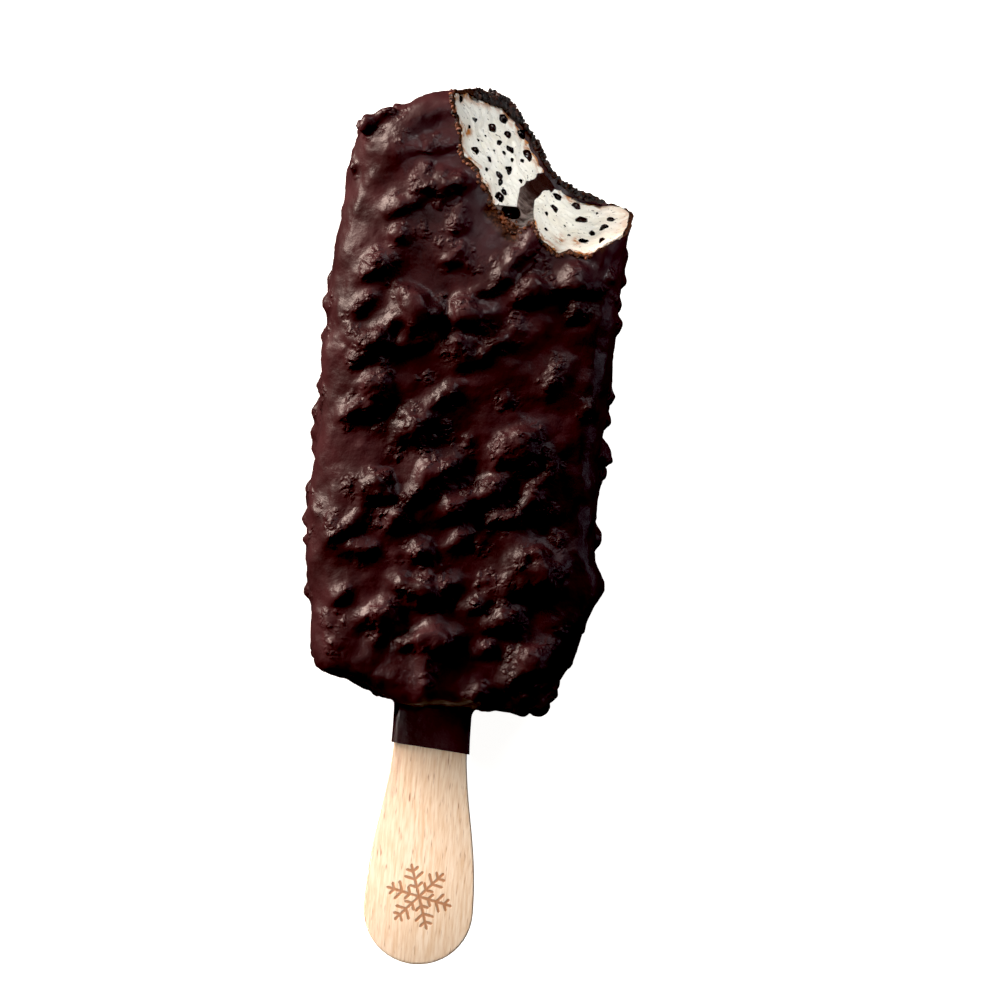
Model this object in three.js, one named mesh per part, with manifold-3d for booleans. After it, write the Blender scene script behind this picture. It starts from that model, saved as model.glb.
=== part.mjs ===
// A nut-studded chocolate ice cream bar on a flat wooden stick, bitten at one top corner.
// Millimetres. The bar lies on its back: x runs across it, y along it towards the bitten top, and z up to the
// face that shows. The bar is drawn with y = 0 where the stick enters it, and the whole is moved at the end so
// that the origin is the middle of the underside.

import * as THREE from "three";
import { mergeVertices } from "three/addons/utils/BufferGeometryUtils.js";
import Module from "manifold-3d";

const wasm = await Module();
wasm.setup();

// ---- Driving dimensions ----

// The moulded slab under the nuts: its thickness, how far the rounded rim reaches in from the side, and how deep.
const SLAB = { thickness: 24.5, rimIn: 3.4, rimDeep: 4.8 };
// Chocolate wall, the film of it down the stick, and the length of that film.
const COATING = { wall: 1.7, film: 0.3, filmLength: 5.9 };
// Air left between pieces that touch.
const GAP = { food: 0.3, stick: 0.2 };
// The bar's back lies this far above the table, on the nuts that stand out of it.
const BACK_Z = 1.3;
const FRONT_Z = BACK_Z + SLAB.thickness;
const MID_Z = (BACK_Z + FRONT_Z) / 2;

// Corners of the slab's outline, anticlockwise from the one left of the stick, with the radius of each.
const CORNERS = [
  { x: -6.5, y: 1.0, radius: 10 },
  { x: 17.0, y: 0.8, radius: 5 },
  { x: 22.5, y: 13.0, radius: 18 },
  { x: 23.8, y: 76.0, radius: 60 },
  { x: 22.6, y: 92.6, radius: 7 },
  { x: 2.0, y: 101.6, radius: 23 },
  { x: -19.7, y: 92.4, radius: 5 },
  { x: -21.9, y: 66.0, radius: 60 },
  { x: -21.7, y: 21.0, radius: 20 },
  { x: -19.0, y: 5.2, radius: 4.2 },
];
const ARC_STEP = THREE.MathUtils.degToRad(14);

// Standard paddle stick: 94 long, 2 thick, widest in the round grip. It leans a little against the bar.
const STICK = {
  length: 94, thickness: 2, waist: 11.5, grip: 17.3, gripEnd: -40.35, shoulder: -31, waistFrom: -3,
  ease: 0.4, curveSegments: 8, bevel: 0.35, lean: THREE.MathUtils.degToRad(0.7),
};

// Each tooth took a leaning round scoop out of the slab: its centre and radius at the front and the back, and
// how much it hollows between them.
const TEETH = [
  { front: [17.4, 97.7, 22.2], back: [24.0, 104.7, 20.7], hollow: 0.8, sides: 52 },
  { front: [16.7, 81.5, 8.2], back: [19.0, 90.6, 8.0], hollow: 0.5, sides: 28 },
];
const BITE_OVERRUN = 6;

// Fudge ribbon: a wavy sheet down the bar, from front to back.
const FUDGE = { thickness: 3.7, frontX: 7.0, backX: 13.2, bottom: 12, top: 110, steps: 8 };
const FUDGE_WAVE = { height: 0.5, turn: 7, start: 1 };

// Groups of chopped nuts that stand out most on the face: x, y and size.
const FACE_GROUPS = [
  [-7.0, 89.6, 1.0], [-5.4, 83.2, 2.3], [-12.5, 79.1, 1.0], [-2.0, 71.8, 1.7], [-14.9, 69.7, 1.5],
  [5.3, 69.4, 1.2], [10.1, 67.6, 2.1], [16.7, 69.6, 1.9], [17.1, 65.0, 1.1], [-7.9, 62.5, 2.8],
  [0.2, 62.9, 2.1], [7.6, 60.8, 1.2], [-15.5, 56.6, 2.4], [-9.2, 57.5, 1.2], [-0.4, 57.0, 1.8],
  [14.4, 53.8, 1.0], [-14.0, 50.3, 1.4], [-6.7, 44.5, 1.9], [10.2, 42.2, 2.7], [15.3, 39.9, 1.2],
  [-3.2, 36.9, 2.1], [6.2, 35.6, 1.6], [-11.7, 34.6, 1.7], [12.6, 34.7, 1.3], [0.7, 32.3, 1.5],
  [9.0, 31.4, 1.4], [-8.3, 29.8, 1.0], [-3.9, 25.1, 1.3], [-13.1, 24.4, 1.2], [14.3, 22.7, 3.0],
  [-3.0, 18.6, 2.0], [10.1, 15.2, 1.6], [-9.3, 14.4, 1.9], [-0.6, 10.9, 2.2], [14.8, 8.9, 2.3],
];
// Nuts along the two sides, y and size, and one on each foot beside the stick.
const LEFT_SIDE = [
  [92.4, 1.5], [66.4, 1.3], [62.2, 1.1], [57.6, 1.3], [45.7, 1.9], [39.4, 1.1], [33.0, 1.7], [28.6, 1.7],
  [25.1, 1.2], [17.2, 1.4], [7.4, 1.0],
];
const RIGHT_SIDE = [
  [74.3, 1.3], [70.3, 1.5], [63.0, 1.5], [52.1, 1.5], [48.1, 1.4], [42.6, 2.4], [39.5, 1.6], [29.4, 2.0],
  [22.0, 2.7], [15.0, 1.0],
];
const FOOT_NUTS = [[-9.2, 2.2, 1.0], [13.3, 1.3, 1.1], [16.6, 2.4, 2.1]];
// Large nuts on the back, which meet the table and carry the bar: x and y.
const RESTING_NUTS = [[-13, 21], [14, 25], [-12.5, 74], [12.5, 62], [1, 46]];
const RESTING = { radius: 2.6, z: 1.6 };
// In a group, one large nut with smaller ones against it, all as shares of the group's size.
const GROUP = {
  radius: 1.15, standsOut: [0.6, 0.75],
  smallReach: [0.8, 1.15], smallRadius: [0.45, 0.65], smallStandsOut: [0.8, 1.1], twist: 0.4,
};
const SIDE_STANDS_OUT = 0.85;
// Nuts strewn by the seeded rule over the rest: how many, their least and greatest radius, how much of the
// radius stands out, and how far up the sides they go.
const STREWN = {
  face: 38, back: 44, rim: 30, least: 0.8, most: 1.7, backMost: 2.6,
  standsOut: [0.45, 0.75], backStandsOut: 1.2, rimTop: 86, clearOfBite: 0.6, clearOfStick: 3, apart: 0.95,
};
// How far a lump's corners move, as a share of its radius, and the radius from which it gets more of them.
const LUMP = { jitter: 0.16, fineFrom: 1.9 };

// Dark chips in the ice cream where the bite laid them open: x, y and radius.
const CHIPS = [
  [-3.7, 95.6, 0.6], [-1.5, 93.6, 0.55], [3.0, 94.1, 0.9], [1.4, 92.5, 0.85], [4.0, 91.8, 0.6],
  [6.0, 92.0, 0.7], [2.7, 90.3, 0.55], [4.4, 89.5, 0.7], [-0.9, 88.7, 0.85], [7.3, 88.8, 0.9],
  [1.4, 87.5, 0.6], [6.0, 87.3, 0.5], [4.5, 86.1, 0.85], [3.2, 84.9, 0.9], [3.6, 82.0, 0.8],
  [12.8, 82.3, 0.6], [12.3, 80.4, 0.75], [15.7, 81.3, 0.75], [16.7, 79.2, 0.9], [20.9, 79.5, 0.65],
  [20.0, 78.1, 0.7], [18.6, 77.2, 0.6], [17.3, 75.9, 0.8],
];
const CHIP_SUNK = 0.5;

const SEEDS = { face: 11, sides: 23, lumps: 34, strewnFace: 37, strewnBack: 41, strewnRim: 53, chips: 67 };

// ---- Helpers ----

/** A repeatable stream of numbers from 0 to 1. */
function seeded(seed) {
  let state = seed >>> 0;
  return () => {
    state = (state + 0x6d2b79f5) >>> 0;
    let mixed = Math.imul(state ^ (state >>> 15), state | 1);
    mixed ^= mixed + Math.imul(mixed ^ (mixed >>> 7), mixed | 61);
    return ((mixed ^ (mixed >>> 14)) >>> 0) / 2 ** 32;
  };
}

/** A number between two others, from a stream. */
const between = (random, [low, high]) => low + (high - low) * random();

const WELD = 1e-4;

/** A geometry with its shared vertices merged, which is what the boolean library takes. */
function welded(geometry) {
  const bare = geometry.clone();
  bare.deleteAttribute("normal");
  bare.deleteAttribute("uv");
  return mergeVertices(bare, WELD);
}

/** A solid from a closed geometry. */
function toSolid(geometry) {
  const merged = welded(geometry);
  return new wasm.Manifold(new wasm.Mesh({
    numProp: 3,
    vertProperties: new Float32Array(merged.attributes.position.array),
    triVerts: new Uint32Array(merged.index.array),
  }));
}

/** A geometry from a solid. */
function toGeometry(solid) {
  const mesh = solid.getMesh();
  const geometry = new THREE.BufferGeometry();
  geometry.setAttribute("position", new THREE.BufferAttribute(mesh.vertProperties, 3));
  geometry.setIndex(new THREE.BufferAttribute(mesh.triVerts, 1));
  return geometry;
}

/** A box from its lowest and highest corner. */
function block(low, high) {
  const [width, depth, height] = high.map((value, axis) => value - low[axis]);
  const geometry = new THREE.BoxGeometry(width, depth, height);
  geometry.translate(...low.map((value, axis) => (value + high[axis]) / 2));
  return toSolid(geometry);
}

// ---- The slab and its outline ----

/** Each corner with the unit directions of the edge before and after it. */
function cornerEdges(corners) {
  return corners.map((corner, index) => {
    const before = corners[(index + corners.length - 1) % corners.length];
    const after = corners[(index + 1) % corners.length];
    const into = new THREE.Vector2(corner.x - before.x, corner.y - before.y).normalize();
    const out = new THREE.Vector2(after.x - corner.x, after.y - corner.y).normalize();
    return { corner, into, out };
  });
}

/** The corners of the outline moved in by a distance, with their radii smaller by it. */
function insetCorners(distance) {
  return cornerEdges(CORNERS).map(({ corner, into, out }) => {
    const move = distance / into.cross(out);
    return {
      x: corner.x + (out.x - into.x) * move,
      y: corner.y + (out.y - into.y) * move,
      radius: corner.radius - distance,
    };
  });
}

/** The outline, moved in by a distance, as points with an arc at each corner. */
function outline(inset) {
  const points = [];
  for (const { corner, into, out } of cornerEdges(insetCorners(inset))) {
    const turn = Math.asin(into.cross(out));
    const tangent = corner.radius * Math.tan(turn / 2);
    const inward = new THREE.Vector2(-into.y, into.x);
    const centre = new THREE.Vector2(corner.x, corner.y)
      .addScaledVector(into, -tangent)
      .addScaledVector(inward, corner.radius);
    const steps = Math.max(1, Math.ceil(turn / ARC_STEP));
    for (let step = 0; step <= steps; step += 1) {
      const spoke = inward.clone().rotateAround(new THREE.Vector2(), (turn * step) / steps);
      points.push(centre.clone().addScaledVector(spoke, -corner.radius));
    }
  }
  return points;
}

/** The slab with its rounded rim, smaller by an inset on every side. */
function slab(inset) {
  const rimIn = SLAB.rimIn - inset;
  const rimDeep = SLAB.rimDeep - inset;
  const geometry = new THREE.ExtrudeGeometry(new THREE.Shape(outline(inset)), {
    depth: SLAB.thickness - 2 * SLAB.rimDeep,
    bevelEnabled: true,
    bevelThickness: rimDeep,
    bevelSize: rimIn,
    bevelOffset: -rimIn,
    bevelSegments: 3,
  });
  geometry.translate(0, 0, BACK_Z + SLAB.rimDeep);
  return toSolid(geometry);
}

const OUTLINE = outline(0);
const SIDE_STEP = 0.5;
const RIM_LENGTH = OUTLINE.reduce(
  (sum, point, index) => sum + point.distanceTo(OUTLINE[(index + 1) % OUTLINE.length]), 0);

/** How far a point is inside the outline; negative outside it. */
function depthInside(x, y) {
  return Math.min(...OUTLINE.map((point, index) => {
    const edge = OUTLINE[(index + 1) % OUTLINE.length].clone().sub(point).normalize();
    return edge.cross(new THREE.Vector2(x, y).sub(point));
  }));
}

/** How far the slab's face has dropped at a point, where the rim rounds over. */
function rimDrop(x, y) {
  const over = Math.max(0, SLAB.rimIn - depthInside(x, y)) / SLAB.rimIn;
  return SLAB.rimDeep * (1 - Math.sqrt(Math.max(0, 1 - over * over)));
}

/** A point on the outline and the way out of it, at a distance along it. */
function rimPoint(distance) {
  let left = distance;
  for (let index = 0; index < OUTLINE.length; index += 1) {
    const start = OUTLINE[index];
    const edge = OUTLINE[(index + 1) % OUTLINE.length].clone().sub(start);
    const length = edge.length();
    if (left <= length) {
      const along = edge.divideScalar(length);
      return { point: start.clone().addScaledVector(along, left), out: new THREE.Vector2(along.y, -along.x) };
    }
    left -= length;
  }
  return rimPoint(0);
}

/** The point of the outline at a height along the bar, on its left (-1) or right (1) side. */
function sidePoint(y, side) {
  const steps = Math.ceil(RIM_LENGTH / SIDE_STEP);
  const offBy = ({ point, out }) => (out.x * side > 0 ? Math.abs(point.y - y) : Infinity);
  return Array.from({ length: steps }, (_, index) => rimPoint(index * SIDE_STEP))
    .reduce((best, place) => (offBy(place) < offBy(best) ? place : best));
}

// ---- The bite ----

/** The centre and radius of a tooth's scoop at a height. */
function scoopAt(tooth, z) {
  const t = (z - BACK_Z) / SLAB.thickness;
  const [x, y, radius] = tooth.front.map((value, index) => THREE.MathUtils.lerp(tooth.back[index], value, t));
  return { x, y, radius: radius + tooth.hollow * Math.max(0, 4 * t * (1 - t)) };
}

/** How far a point is inside the bitten room; negative in what is left of the bar. */
function depthInBite(x, y, z) {
  return Math.max(...TEETH.map((tooth) => {
    const scoop = scoopAt(tooth, z);
    return scoop.radius - Math.hypot(x - scoop.x, y - scoop.y);
  }));
}

/** The room that the teeth took, which runs past both faces of the bar. */
function biteRoom() {
  const height = SLAB.thickness + 2 * BITE_OVERRUN;
  return TEETH.map((tooth) => {
    const geometry = new THREE.CylinderGeometry(1, 1, height, tooth.sides, 6);
    geometry.rotateX(Math.PI / 2);
    geometry.translate(0, 0, MID_Z);
    const position = geometry.attributes.position;
    for (let index = 0; index < position.count; index += 1) {
      const scoop = scoopAt(tooth, position.getZ(index));
      position.setX(index, scoop.x + scoop.radius * position.getX(index));
      position.setY(index, scoop.y + scoop.radius * position.getY(index));
    }
    return toSolid(geometry);
  }).reduce((room, scoop) => room.add(scoop));
}

const HEIGHT_TOLERANCE = 0.01;

/** The height of the bitten surface under a point, seen from the front. */
function biteHeight(x, y) {
  let low = BACK_Z;
  let high = FRONT_Z;
  while (high - low > HEIGHT_TOLERANCE) {
    const middle = (low + high) / 2;
    if (depthInBite(x, y, middle) > 0) high = middle;
    else low = middle;
  }
  return low;
}

// ---- Nuts ----

const HALF_TURN = [0, Math.PI];

/** A chopped lump, about as large as its radius, with its corners moved in and out by the seeded rule. */
function lump(radius, fine, random) {
  const geometry = welded(new THREE.IcosahedronGeometry(radius, fine ? 1 : 0));
  const position = geometry.attributes.position;
  const corner = new THREE.Vector3();
  for (let index = 0; index < position.count; index += 1) {
    corner.fromBufferAttribute(position, index).multiplyScalar(between(random, [1 - LUMP.jitter, 1 + LUMP.jitter]));
    position.setXYZ(index, corner.x, corner.y, corner.z);
  }
  geometry.rotateX(between(random, HALF_TURN));
  geometry.rotateZ(between(random, HALF_TURN));
  return geometry;
}

/** A nut as a solid at its place. */
function nutSolid(nut, random) {
  const geometry = lump(nut.radius, nut.radius >= LUMP.fineFrom, random);
  geometry.translate(nut.x, nut.y, nut.z);
  return toSolid(geometry);
}

/** A nut set into the front (1) or the back (-1) of the slab, standing out by part of its radius. */
function faceNut(x, y, radius, side, standsOut) {
  const surface = side > 0 ? FRONT_Z - rimDrop(x, y) : BACK_Z + rimDrop(x, y);
  return { x, y, z: surface + side * (standsOut - radius), radius };
}

/** A nut set into the side of the slab, at a point of its outline. */
function rimNut({ point, out }, z, radius, standsOut) {
  const sunk = standsOut - radius;
  return { x: point.x + out.x * sunk, y: point.y + out.y * sunk, z, radius };
}

/** The large nut of each group on the face, with smaller ones against it. */
function groupedNuts() {
  const random = seeded(SEEDS.face);
  return FACE_GROUPS.flatMap(([x, y, size]) => {
    const nuts = [faceNut(x, y, size * GROUP.radius, 1, size * between(random, GROUP.standsOut))];
    const start = 2 * Math.PI * random();
    const smaller = Math.round(size);
    for (let index = 0; index < smaller; index += 1) {
      const angle = start + (index * 2 * Math.PI) / smaller + between(random, [-GROUP.twist, GROUP.twist]);
      const reach = size * between(random, GROUP.smallReach);
      const radius = size * between(random, GROUP.smallRadius);
      const place = [x + reach * Math.cos(angle), y + reach * Math.sin(angle)];
      nuts.push(faceNut(...place, radius, 1, radius * between(random, GROUP.smallStandsOut)));
    }
    return nuts;
  });
}

/** The nuts along both sides, on the feet and at the back where the bar rests. */
function sideNuts() {
  const random = seeded(SEEDS.sides);
  const middleHalf = [MID_Z - SLAB.thickness / 4, MID_Z + SLAB.thickness / 4];
  const sides = [[LEFT_SIDE, -1], [RIGHT_SIDE, 1]].flatMap(([list, side]) => list.map(([y, radius]) =>
    rimNut(sidePoint(y, side), between(random, middleHalf), radius, radius * SIDE_STANDS_OUT)));
  const feet = FOOT_NUTS.map(([x, y, radius]) => ({ x, y, z: between(random, middleHalf), radius }));
  const resting = RESTING_NUTS.map(([x, y]) => ({ x, y, ...RESTING }));
  return [...sides, ...feet, ...resting];
}

/** True where a nut has room beside the others and stays off the bite and the stick. */
function hasRoom(nut, others) {
  const offBite = depthInBite(nut.x, nut.y, nut.z) < -(nut.radius + STREWN.clearOfBite);
  const offStick = nut.y > COATING.wall || Math.abs(nut.x) > STICK.waist / 2 + STREWN.clearOfStick;
  return offBite && offStick && others.every((other) => {
    const distance = Math.hypot(nut.x - other.x, nut.y - other.y, nut.z - other.z);
    return distance > STREWN.apart * (nut.radius + other.radius);
  });
}

const TRIES = 60;

/** Adds nuts made by a rule until a number of them has found room. */
function strew(nuts, count, make) {
  let placed = 0;
  for (let attempt = 0; placed < count && attempt < TRIES * count; attempt += 1) {
    const nut = make();
    if (nut && hasRoom(nut, nuts)) {
      nuts.push(nut);
      placed += 1;
    }
  }
}

/** A rule for nuts on the front (1) or the back (-1) of the slab, with more small ones than large. */
function faceRule(seed, side, most, standsOutMost) {
  const random = seeded(seed);
  const { min, max } = new THREE.Box2().setFromPoints(OUTLINE);
  return () => {
    const x = between(random, [min.x, max.x]);
    const y = between(random, [min.y, max.y]);
    const radius = STREWN.least + (most - STREWN.least) * random() ** 2;
    const standsOut = Math.min(radius * between(random, STREWN.standsOut), standsOutMost);
    return depthInside(x, y) > radius ? faceNut(x, y, radius, side, standsOut) : null;
  };
}

/** A rule for nuts round the slab's side. */
function rimRule(seed) {
  const random = seeded(seed);
  return () => {
    const place = rimPoint(between(random, [0, RIM_LENGTH]));
    const z = between(random, [BACK_Z + SLAB.rimDeep, FRONT_Z - SLAB.rimDeep]);
    const radius = between(random, [STREWN.least, STREWN.most]);
    const standsOut = radius * between(random, STREWN.standsOut);
    return place.point.y < STREWN.rimTop ? rimNut(place, z, radius, standsOut) : null;
  };
}

/** Every nut of the bar. */
function allNuts() {
  const nuts = [...groupedNuts(), ...sideNuts()];
  strew(nuts, STREWN.face, faceRule(SEEDS.strewnFace, 1, STREWN.most, STREWN.most));
  strew(nuts, STREWN.back, faceRule(SEEDS.strewnBack, -1, STREWN.backMost, STREWN.backStandsOut));
  strew(nuts, STREWN.rim, rimRule(SEEDS.strewnRim));
  return nuts;
}

// ---- The pieces ----

/** The stick's outline, grown by a distance. */
function stickShape(grow) {
  const waist = STICK.waist / 2 + grow;
  const grip = STICK.grip / 2 + grow;
  const gripCentre = STICK.gripEnd + STICK.grip / 2;
  const topCentre = STICK.gripEnd + STICK.length - STICK.waist / 2;
  const reach = (STICK.waistFrom - STICK.shoulder) * STICK.ease;
  const shape = new THREE.Shape();
  shape.absarc(0, topCentre, waist, 0, Math.PI, false);
  shape.lineTo(-waist, STICK.waistFrom);
  shape.bezierCurveTo(
    -waist, STICK.waistFrom - reach, -grip, STICK.shoulder + reach, -grip, STICK.shoulder);
  shape.absarc(0, gripCentre, grip, Math.PI, 2 * Math.PI, false);
  shape.lineTo(grip, STICK.shoulder);
  shape.bezierCurveTo(grip, STICK.shoulder + reach, waist, STICK.waistFrom - reach, waist, STICK.waistFrom);
  return shape;
}

/** The stick at its place, grown by a distance on every side, with its edges bevelled. */
function stickSolid(grow, bevel) {
  const thickness = STICK.thickness + 2 * grow;
  const geometry = new THREE.ExtrudeGeometry(stickShape(grow), {
    depth: thickness - 2 * bevel,
    bevelEnabled: bevel > 0,
    bevelThickness: bevel,
    bevelSize: bevel,
    bevelOffset: -bevel,
    bevelSegments: 2,
    curveSegments: STICK.curveSegments,
  });
  geometry.translate(0, 0, MID_Z - thickness / 2 + bevel);
  geometry.rotateZ(STICK.lean);
  return toSolid(geometry);
}

// More than the reach of the bar, for the block that flattens the nuts on the table.
const TABLE = 150;

/** The chocolate: a wall all round with the nuts fused to it and a film down the stick, open at the bite. */
function chocolateCoating(bite) {
  const random = seeded(SEEDS.lumps);
  const filmRoom = block([-STICK.grip, -COATING.filmLength, BACK_Z], [STICK.grip, 2 * COATING.wall, FRONT_Z]);
  const film = stickSolid(GAP.stick + COATING.film, 0).intersect(filmRoom);
  const studded = allNuts().reduce((solid, nut) => solid.add(nutSolid(nut, random)), slab(0).add(film));
  const table = block([-TABLE, -TABLE, -TABLE], [TABLE, TABLE, 0]);
  return studded
    .subtract(table)
    .subtract(slab(COATING.wall))
    .subtract(stickSolid(GAP.stick, 0))
    .subtract(bite);
}

/** The ribbon's section from front to back as a wavy band, grown by a distance. */
function fudgeSection(grow) {
  const half = FUDGE.thickness / 2 + grow;
  const sides = [-1, 1].map((side) => {
    const points = [];
    for (let step = 0; step <= FUDGE.steps; step += 1) {
      const t = step / FUDGE.steps;
      const wave = FUDGE_WAVE.height * Math.sin(FUDGE_WAVE.turn * t + FUDGE_WAVE.start);
      const middle = THREE.MathUtils.lerp(FUDGE.backX, FUDGE.frontX, t) + wave;
      points.push(new THREE.Vector2(middle + side * half, THREE.MathUtils.lerp(BACK_Z, FRONT_Z, t)));
    }
    return points;
  });
  return new THREE.Shape([...sides[0].reverse(), ...sides[1]]);
}

/** The ribbon as a sheet that runs down the bar, grown by a distance. */
function fudgeSheet(grow) {
  const geometry = new THREE.ExtrudeGeometry(fudgeSection(grow), {
    depth: FUDGE.top - FUDGE.bottom + grow,
    bevelEnabled: false,
  });
  geometry.rotateX(Math.PI / 2);
  geometry.translate(0, FUDGE.top, 0);
  return toSolid(geometry);
}

/** The ribbon inside the ice cream, bitten with it. */
function fudgeRibbon(bite) {
  return fudgeSheet(0).intersect(slab(COATING.wall + GAP.food)).subtract(bite);
}

/** The ice cream: it fills the chocolate, with room for the ribbon and the stick, and chips fused at the bite. */
function iceCream(bite) {
  const random = seeded(SEEDS.chips);
  const body = slab(COATING.wall + GAP.food);
  const bitten = CHIPS.reduce((solid, [x, y, radius]) => {
    const z = biteHeight(x, y);
    const scoop = scoopAt(TEETH[0], z);
    const away = new THREE.Vector2(x - scoop.x, y - scoop.y).setLength(radius * CHIP_SUNK);
    const geometry = lump(radius, false, random);
    geometry.translate(x + away.x, y + away.y, z);
    return solid.add(toSolid(geometry));
  }, body.subtract(bite));
  return bitten
    .intersect(body)
    .subtract(fudgeSheet(GAP.food))
    .subtract(stickSolid(GAP.food, 0));
}

// ---- The whole ----

const FINISHES = {
  chocolate_coating: { color: 0x241011, roughness: 0.32, metalness: 0 },
  ice_cream: { color: 0xece8dd, roughness: 0.7, metalness: 0 },
  fudge_ribbon: { color: 0x2c1a15, roughness: 0.2, metalness: 0 },
  stick: { color: 0xe9cba6, roughness: 0.65, metalness: 0 },
};

/** The bar as a group of its pieces, with the origin in the middle of the underside. */
function iceCreamBar() {
  const bite = biteRoom();
  const pieces = {
    chocolate_coating: chocolateCoating(bite),
    ice_cream: iceCream(bite),
    fudge_ribbon: fudgeRibbon(bite),
    stick: stickSolid(0, STICK.bevel),
  };
  const bar = new THREE.Group();
  for (const [name, solid] of Object.entries(pieces)) {
    const mesh = new THREE.Mesh(toGeometry(solid), new THREE.MeshStandardMaterial(FINISHES[name]));
    mesh.name = name;
    bar.add(mesh);
  }
  const box = new THREE.Box3().setFromObject(bar);
  const centre = box.getCenter(new THREE.Vector3());
  bar.position.set(-centre.x, -centre.y, -box.min.z);
  return bar;
}

export default iceCreamBar();
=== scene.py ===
"""A bitten, nut-studded ice cream bar on a beech stick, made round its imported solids.

Sizes are millimetres in the bar's own frame: x runs across the bar, y along it from where the stick enters towards
the bitten top, and z up from the table to the face that shows. Places across the bar are complex numbers, x + yj.
BarFrame takes each finished mesh into the row's frame, in metres.
"""

import cmath
import logging
import math
from collections.abc import Callable, Iterator, Sequence
from dataclasses import dataclass
from enum import Enum
from typing import TypeVar

import bmesh
import bpy
from mathutils import Euler, Matrix, Vector, noise
from mathutils.bvhtree import BVHTree
from mathutils.kdtree import KDTree


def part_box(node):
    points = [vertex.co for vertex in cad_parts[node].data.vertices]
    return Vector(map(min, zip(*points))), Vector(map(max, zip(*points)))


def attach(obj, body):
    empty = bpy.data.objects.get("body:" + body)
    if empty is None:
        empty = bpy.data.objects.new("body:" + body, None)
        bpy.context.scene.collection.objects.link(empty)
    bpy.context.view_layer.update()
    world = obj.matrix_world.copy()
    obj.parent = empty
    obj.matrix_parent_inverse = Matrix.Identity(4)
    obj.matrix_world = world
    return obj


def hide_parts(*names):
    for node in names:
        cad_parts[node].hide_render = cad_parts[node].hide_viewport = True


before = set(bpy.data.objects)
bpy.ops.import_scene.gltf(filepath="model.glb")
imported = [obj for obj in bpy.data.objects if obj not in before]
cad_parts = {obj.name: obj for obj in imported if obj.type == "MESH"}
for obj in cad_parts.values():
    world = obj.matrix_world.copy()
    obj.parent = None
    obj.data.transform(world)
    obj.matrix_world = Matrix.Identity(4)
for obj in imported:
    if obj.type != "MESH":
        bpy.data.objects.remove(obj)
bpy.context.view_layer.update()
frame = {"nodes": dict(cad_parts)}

Number = TypeVar("Number", float, complex)
Mesh = bmesh.types.BMesh
Vert = bmesh.types.BMVert
Piece = bpy.types.Object
Socket = bpy.types.NodeSocket

LOG = logging.getLogger("ice_cream_bar")
BODY = "root"
MM = 0.001
UP = Vector((0, 0, 1))


# ---- Numbers, colours and small tools ----


def linear(colour: str | float) -> tuple[float, float, float, float]:
    """Turns an sRGB colour into linear light.

    Args:
        colour: The colour as six hex digits after a #, or a grey that is linear already.

    Returns:
        Red, green, blue and an alpha of 1.
    """
    if not isinstance(colour, str):
        return colour, colour, colour, 1.0
    channels = [int(colour[start:start + 2], 16) / 255 for start in (1, 3, 5)]
    red, green, blue = (c / 12.92 if c <= 0.04045 else ((c + 0.055) / 1.055) ** 2.4 for c in channels)
    return red, green, blue, 1.0


def smoothstep(low: float, high: float, value: float) -> float:
    """Rises smoothly from 0 at low to 1 at high."""
    t = min(1.0, max(0.0, (value - low) / (high - low)))
    return t * t * (3 - 2 * t)


def arch(share: float) -> float:
    """Rises from 0 to 1 at a half and falls again to 0 at a whole, and stays 0 outside."""
    return max(0.0, 4 * share * (1 - share))


def mix(start: Number, end: Number, share: float) -> Number:
    """Goes from start to end, numbers or places, by a share."""
    return start + (end - start) * share


def unit(arrow: complex) -> complex:
    """Makes an arrow across the bar one long."""
    return arrow / abs(arrow)


def cross(first: complex, second: complex) -> float:
    """The height of the cross product of two arrows across the bar."""
    return (first.conjugate() * second).imag


class Stream:
    """A repeatable stream of numbers from 0 to 1, the one that also strews the solids' nuts."""

    MASK = 0xFFFFFFFF
    STRIDE = 0x6D2B79F5

    def __init__(self, seed: int) -> None:
        """Starts the stream at a seed."""
        self.state = seed & self.MASK

    def draw(self) -> float:
        """Gives the next number."""
        self.state = (self.state + self.STRIDE) & self.MASK
        mixed = ((self.state ^ (self.state >> 15)) * (self.state | 1)) & self.MASK
        mixed ^= (mixed + (mixed ^ (mixed >> 7)) * (mixed | 61)) & self.MASK
        return ((mixed ^ (mixed >> 14)) & self.MASK) / (self.MASK + 1)

    def between(self, low: float, high: float) -> float:
        """Gives a number between two others."""
        return low + (high - low) * self.draw()


# ---- Meshes and objects ----


def new_piece(name: str, bm: Mesh) -> Piece:
    """Makes an object from a mesh in the making, and frees that.

    Args:
        name: The object's name.
        bm: The mesh in the making.

    Returns:
        The object, in the scene.
    """
    mesh = bpy.data.meshes.new(name)
    bm.to_mesh(mesh)
    bm.free()
    piece = bpy.data.objects.new(name, mesh)
    bpy.context.scene.collection.objects.link(piece)
    return piece


def apply_modifiers(piece: Piece) -> None:
    """Makes what a piece's modifiers give its own mesh.

    Args:
        piece: The piece, whose modifiers are taken off.
    """
    graph = bpy.context.evaluated_depsgraph_get()
    made = bpy.data.meshes.new_from_object(piece.evaluated_get(graph))
    piece.modifiers.clear()
    before = piece.data
    piece.data = made
    bpy.data.meshes.remove(before)


def add_modifier(piece: Piece, kind: str, **settings: object) -> None:
    """Adds a modifier to a piece and sets it.

    Args:
        piece: The piece.
        kind: Blender's name for the kind of modifier.
        settings: What to set on it, by name.
    """
    modifier = piece.modifiers.new(kind.title(), kind)
    for name, value in settings.items():
        setattr(modifier, name, value)


class Cut(Enum):
    """What a tool does to a piece."""

    AWAY = "DIFFERENCE"
    JOIN = "UNION"
    KEEP = "INTERSECT"


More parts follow.
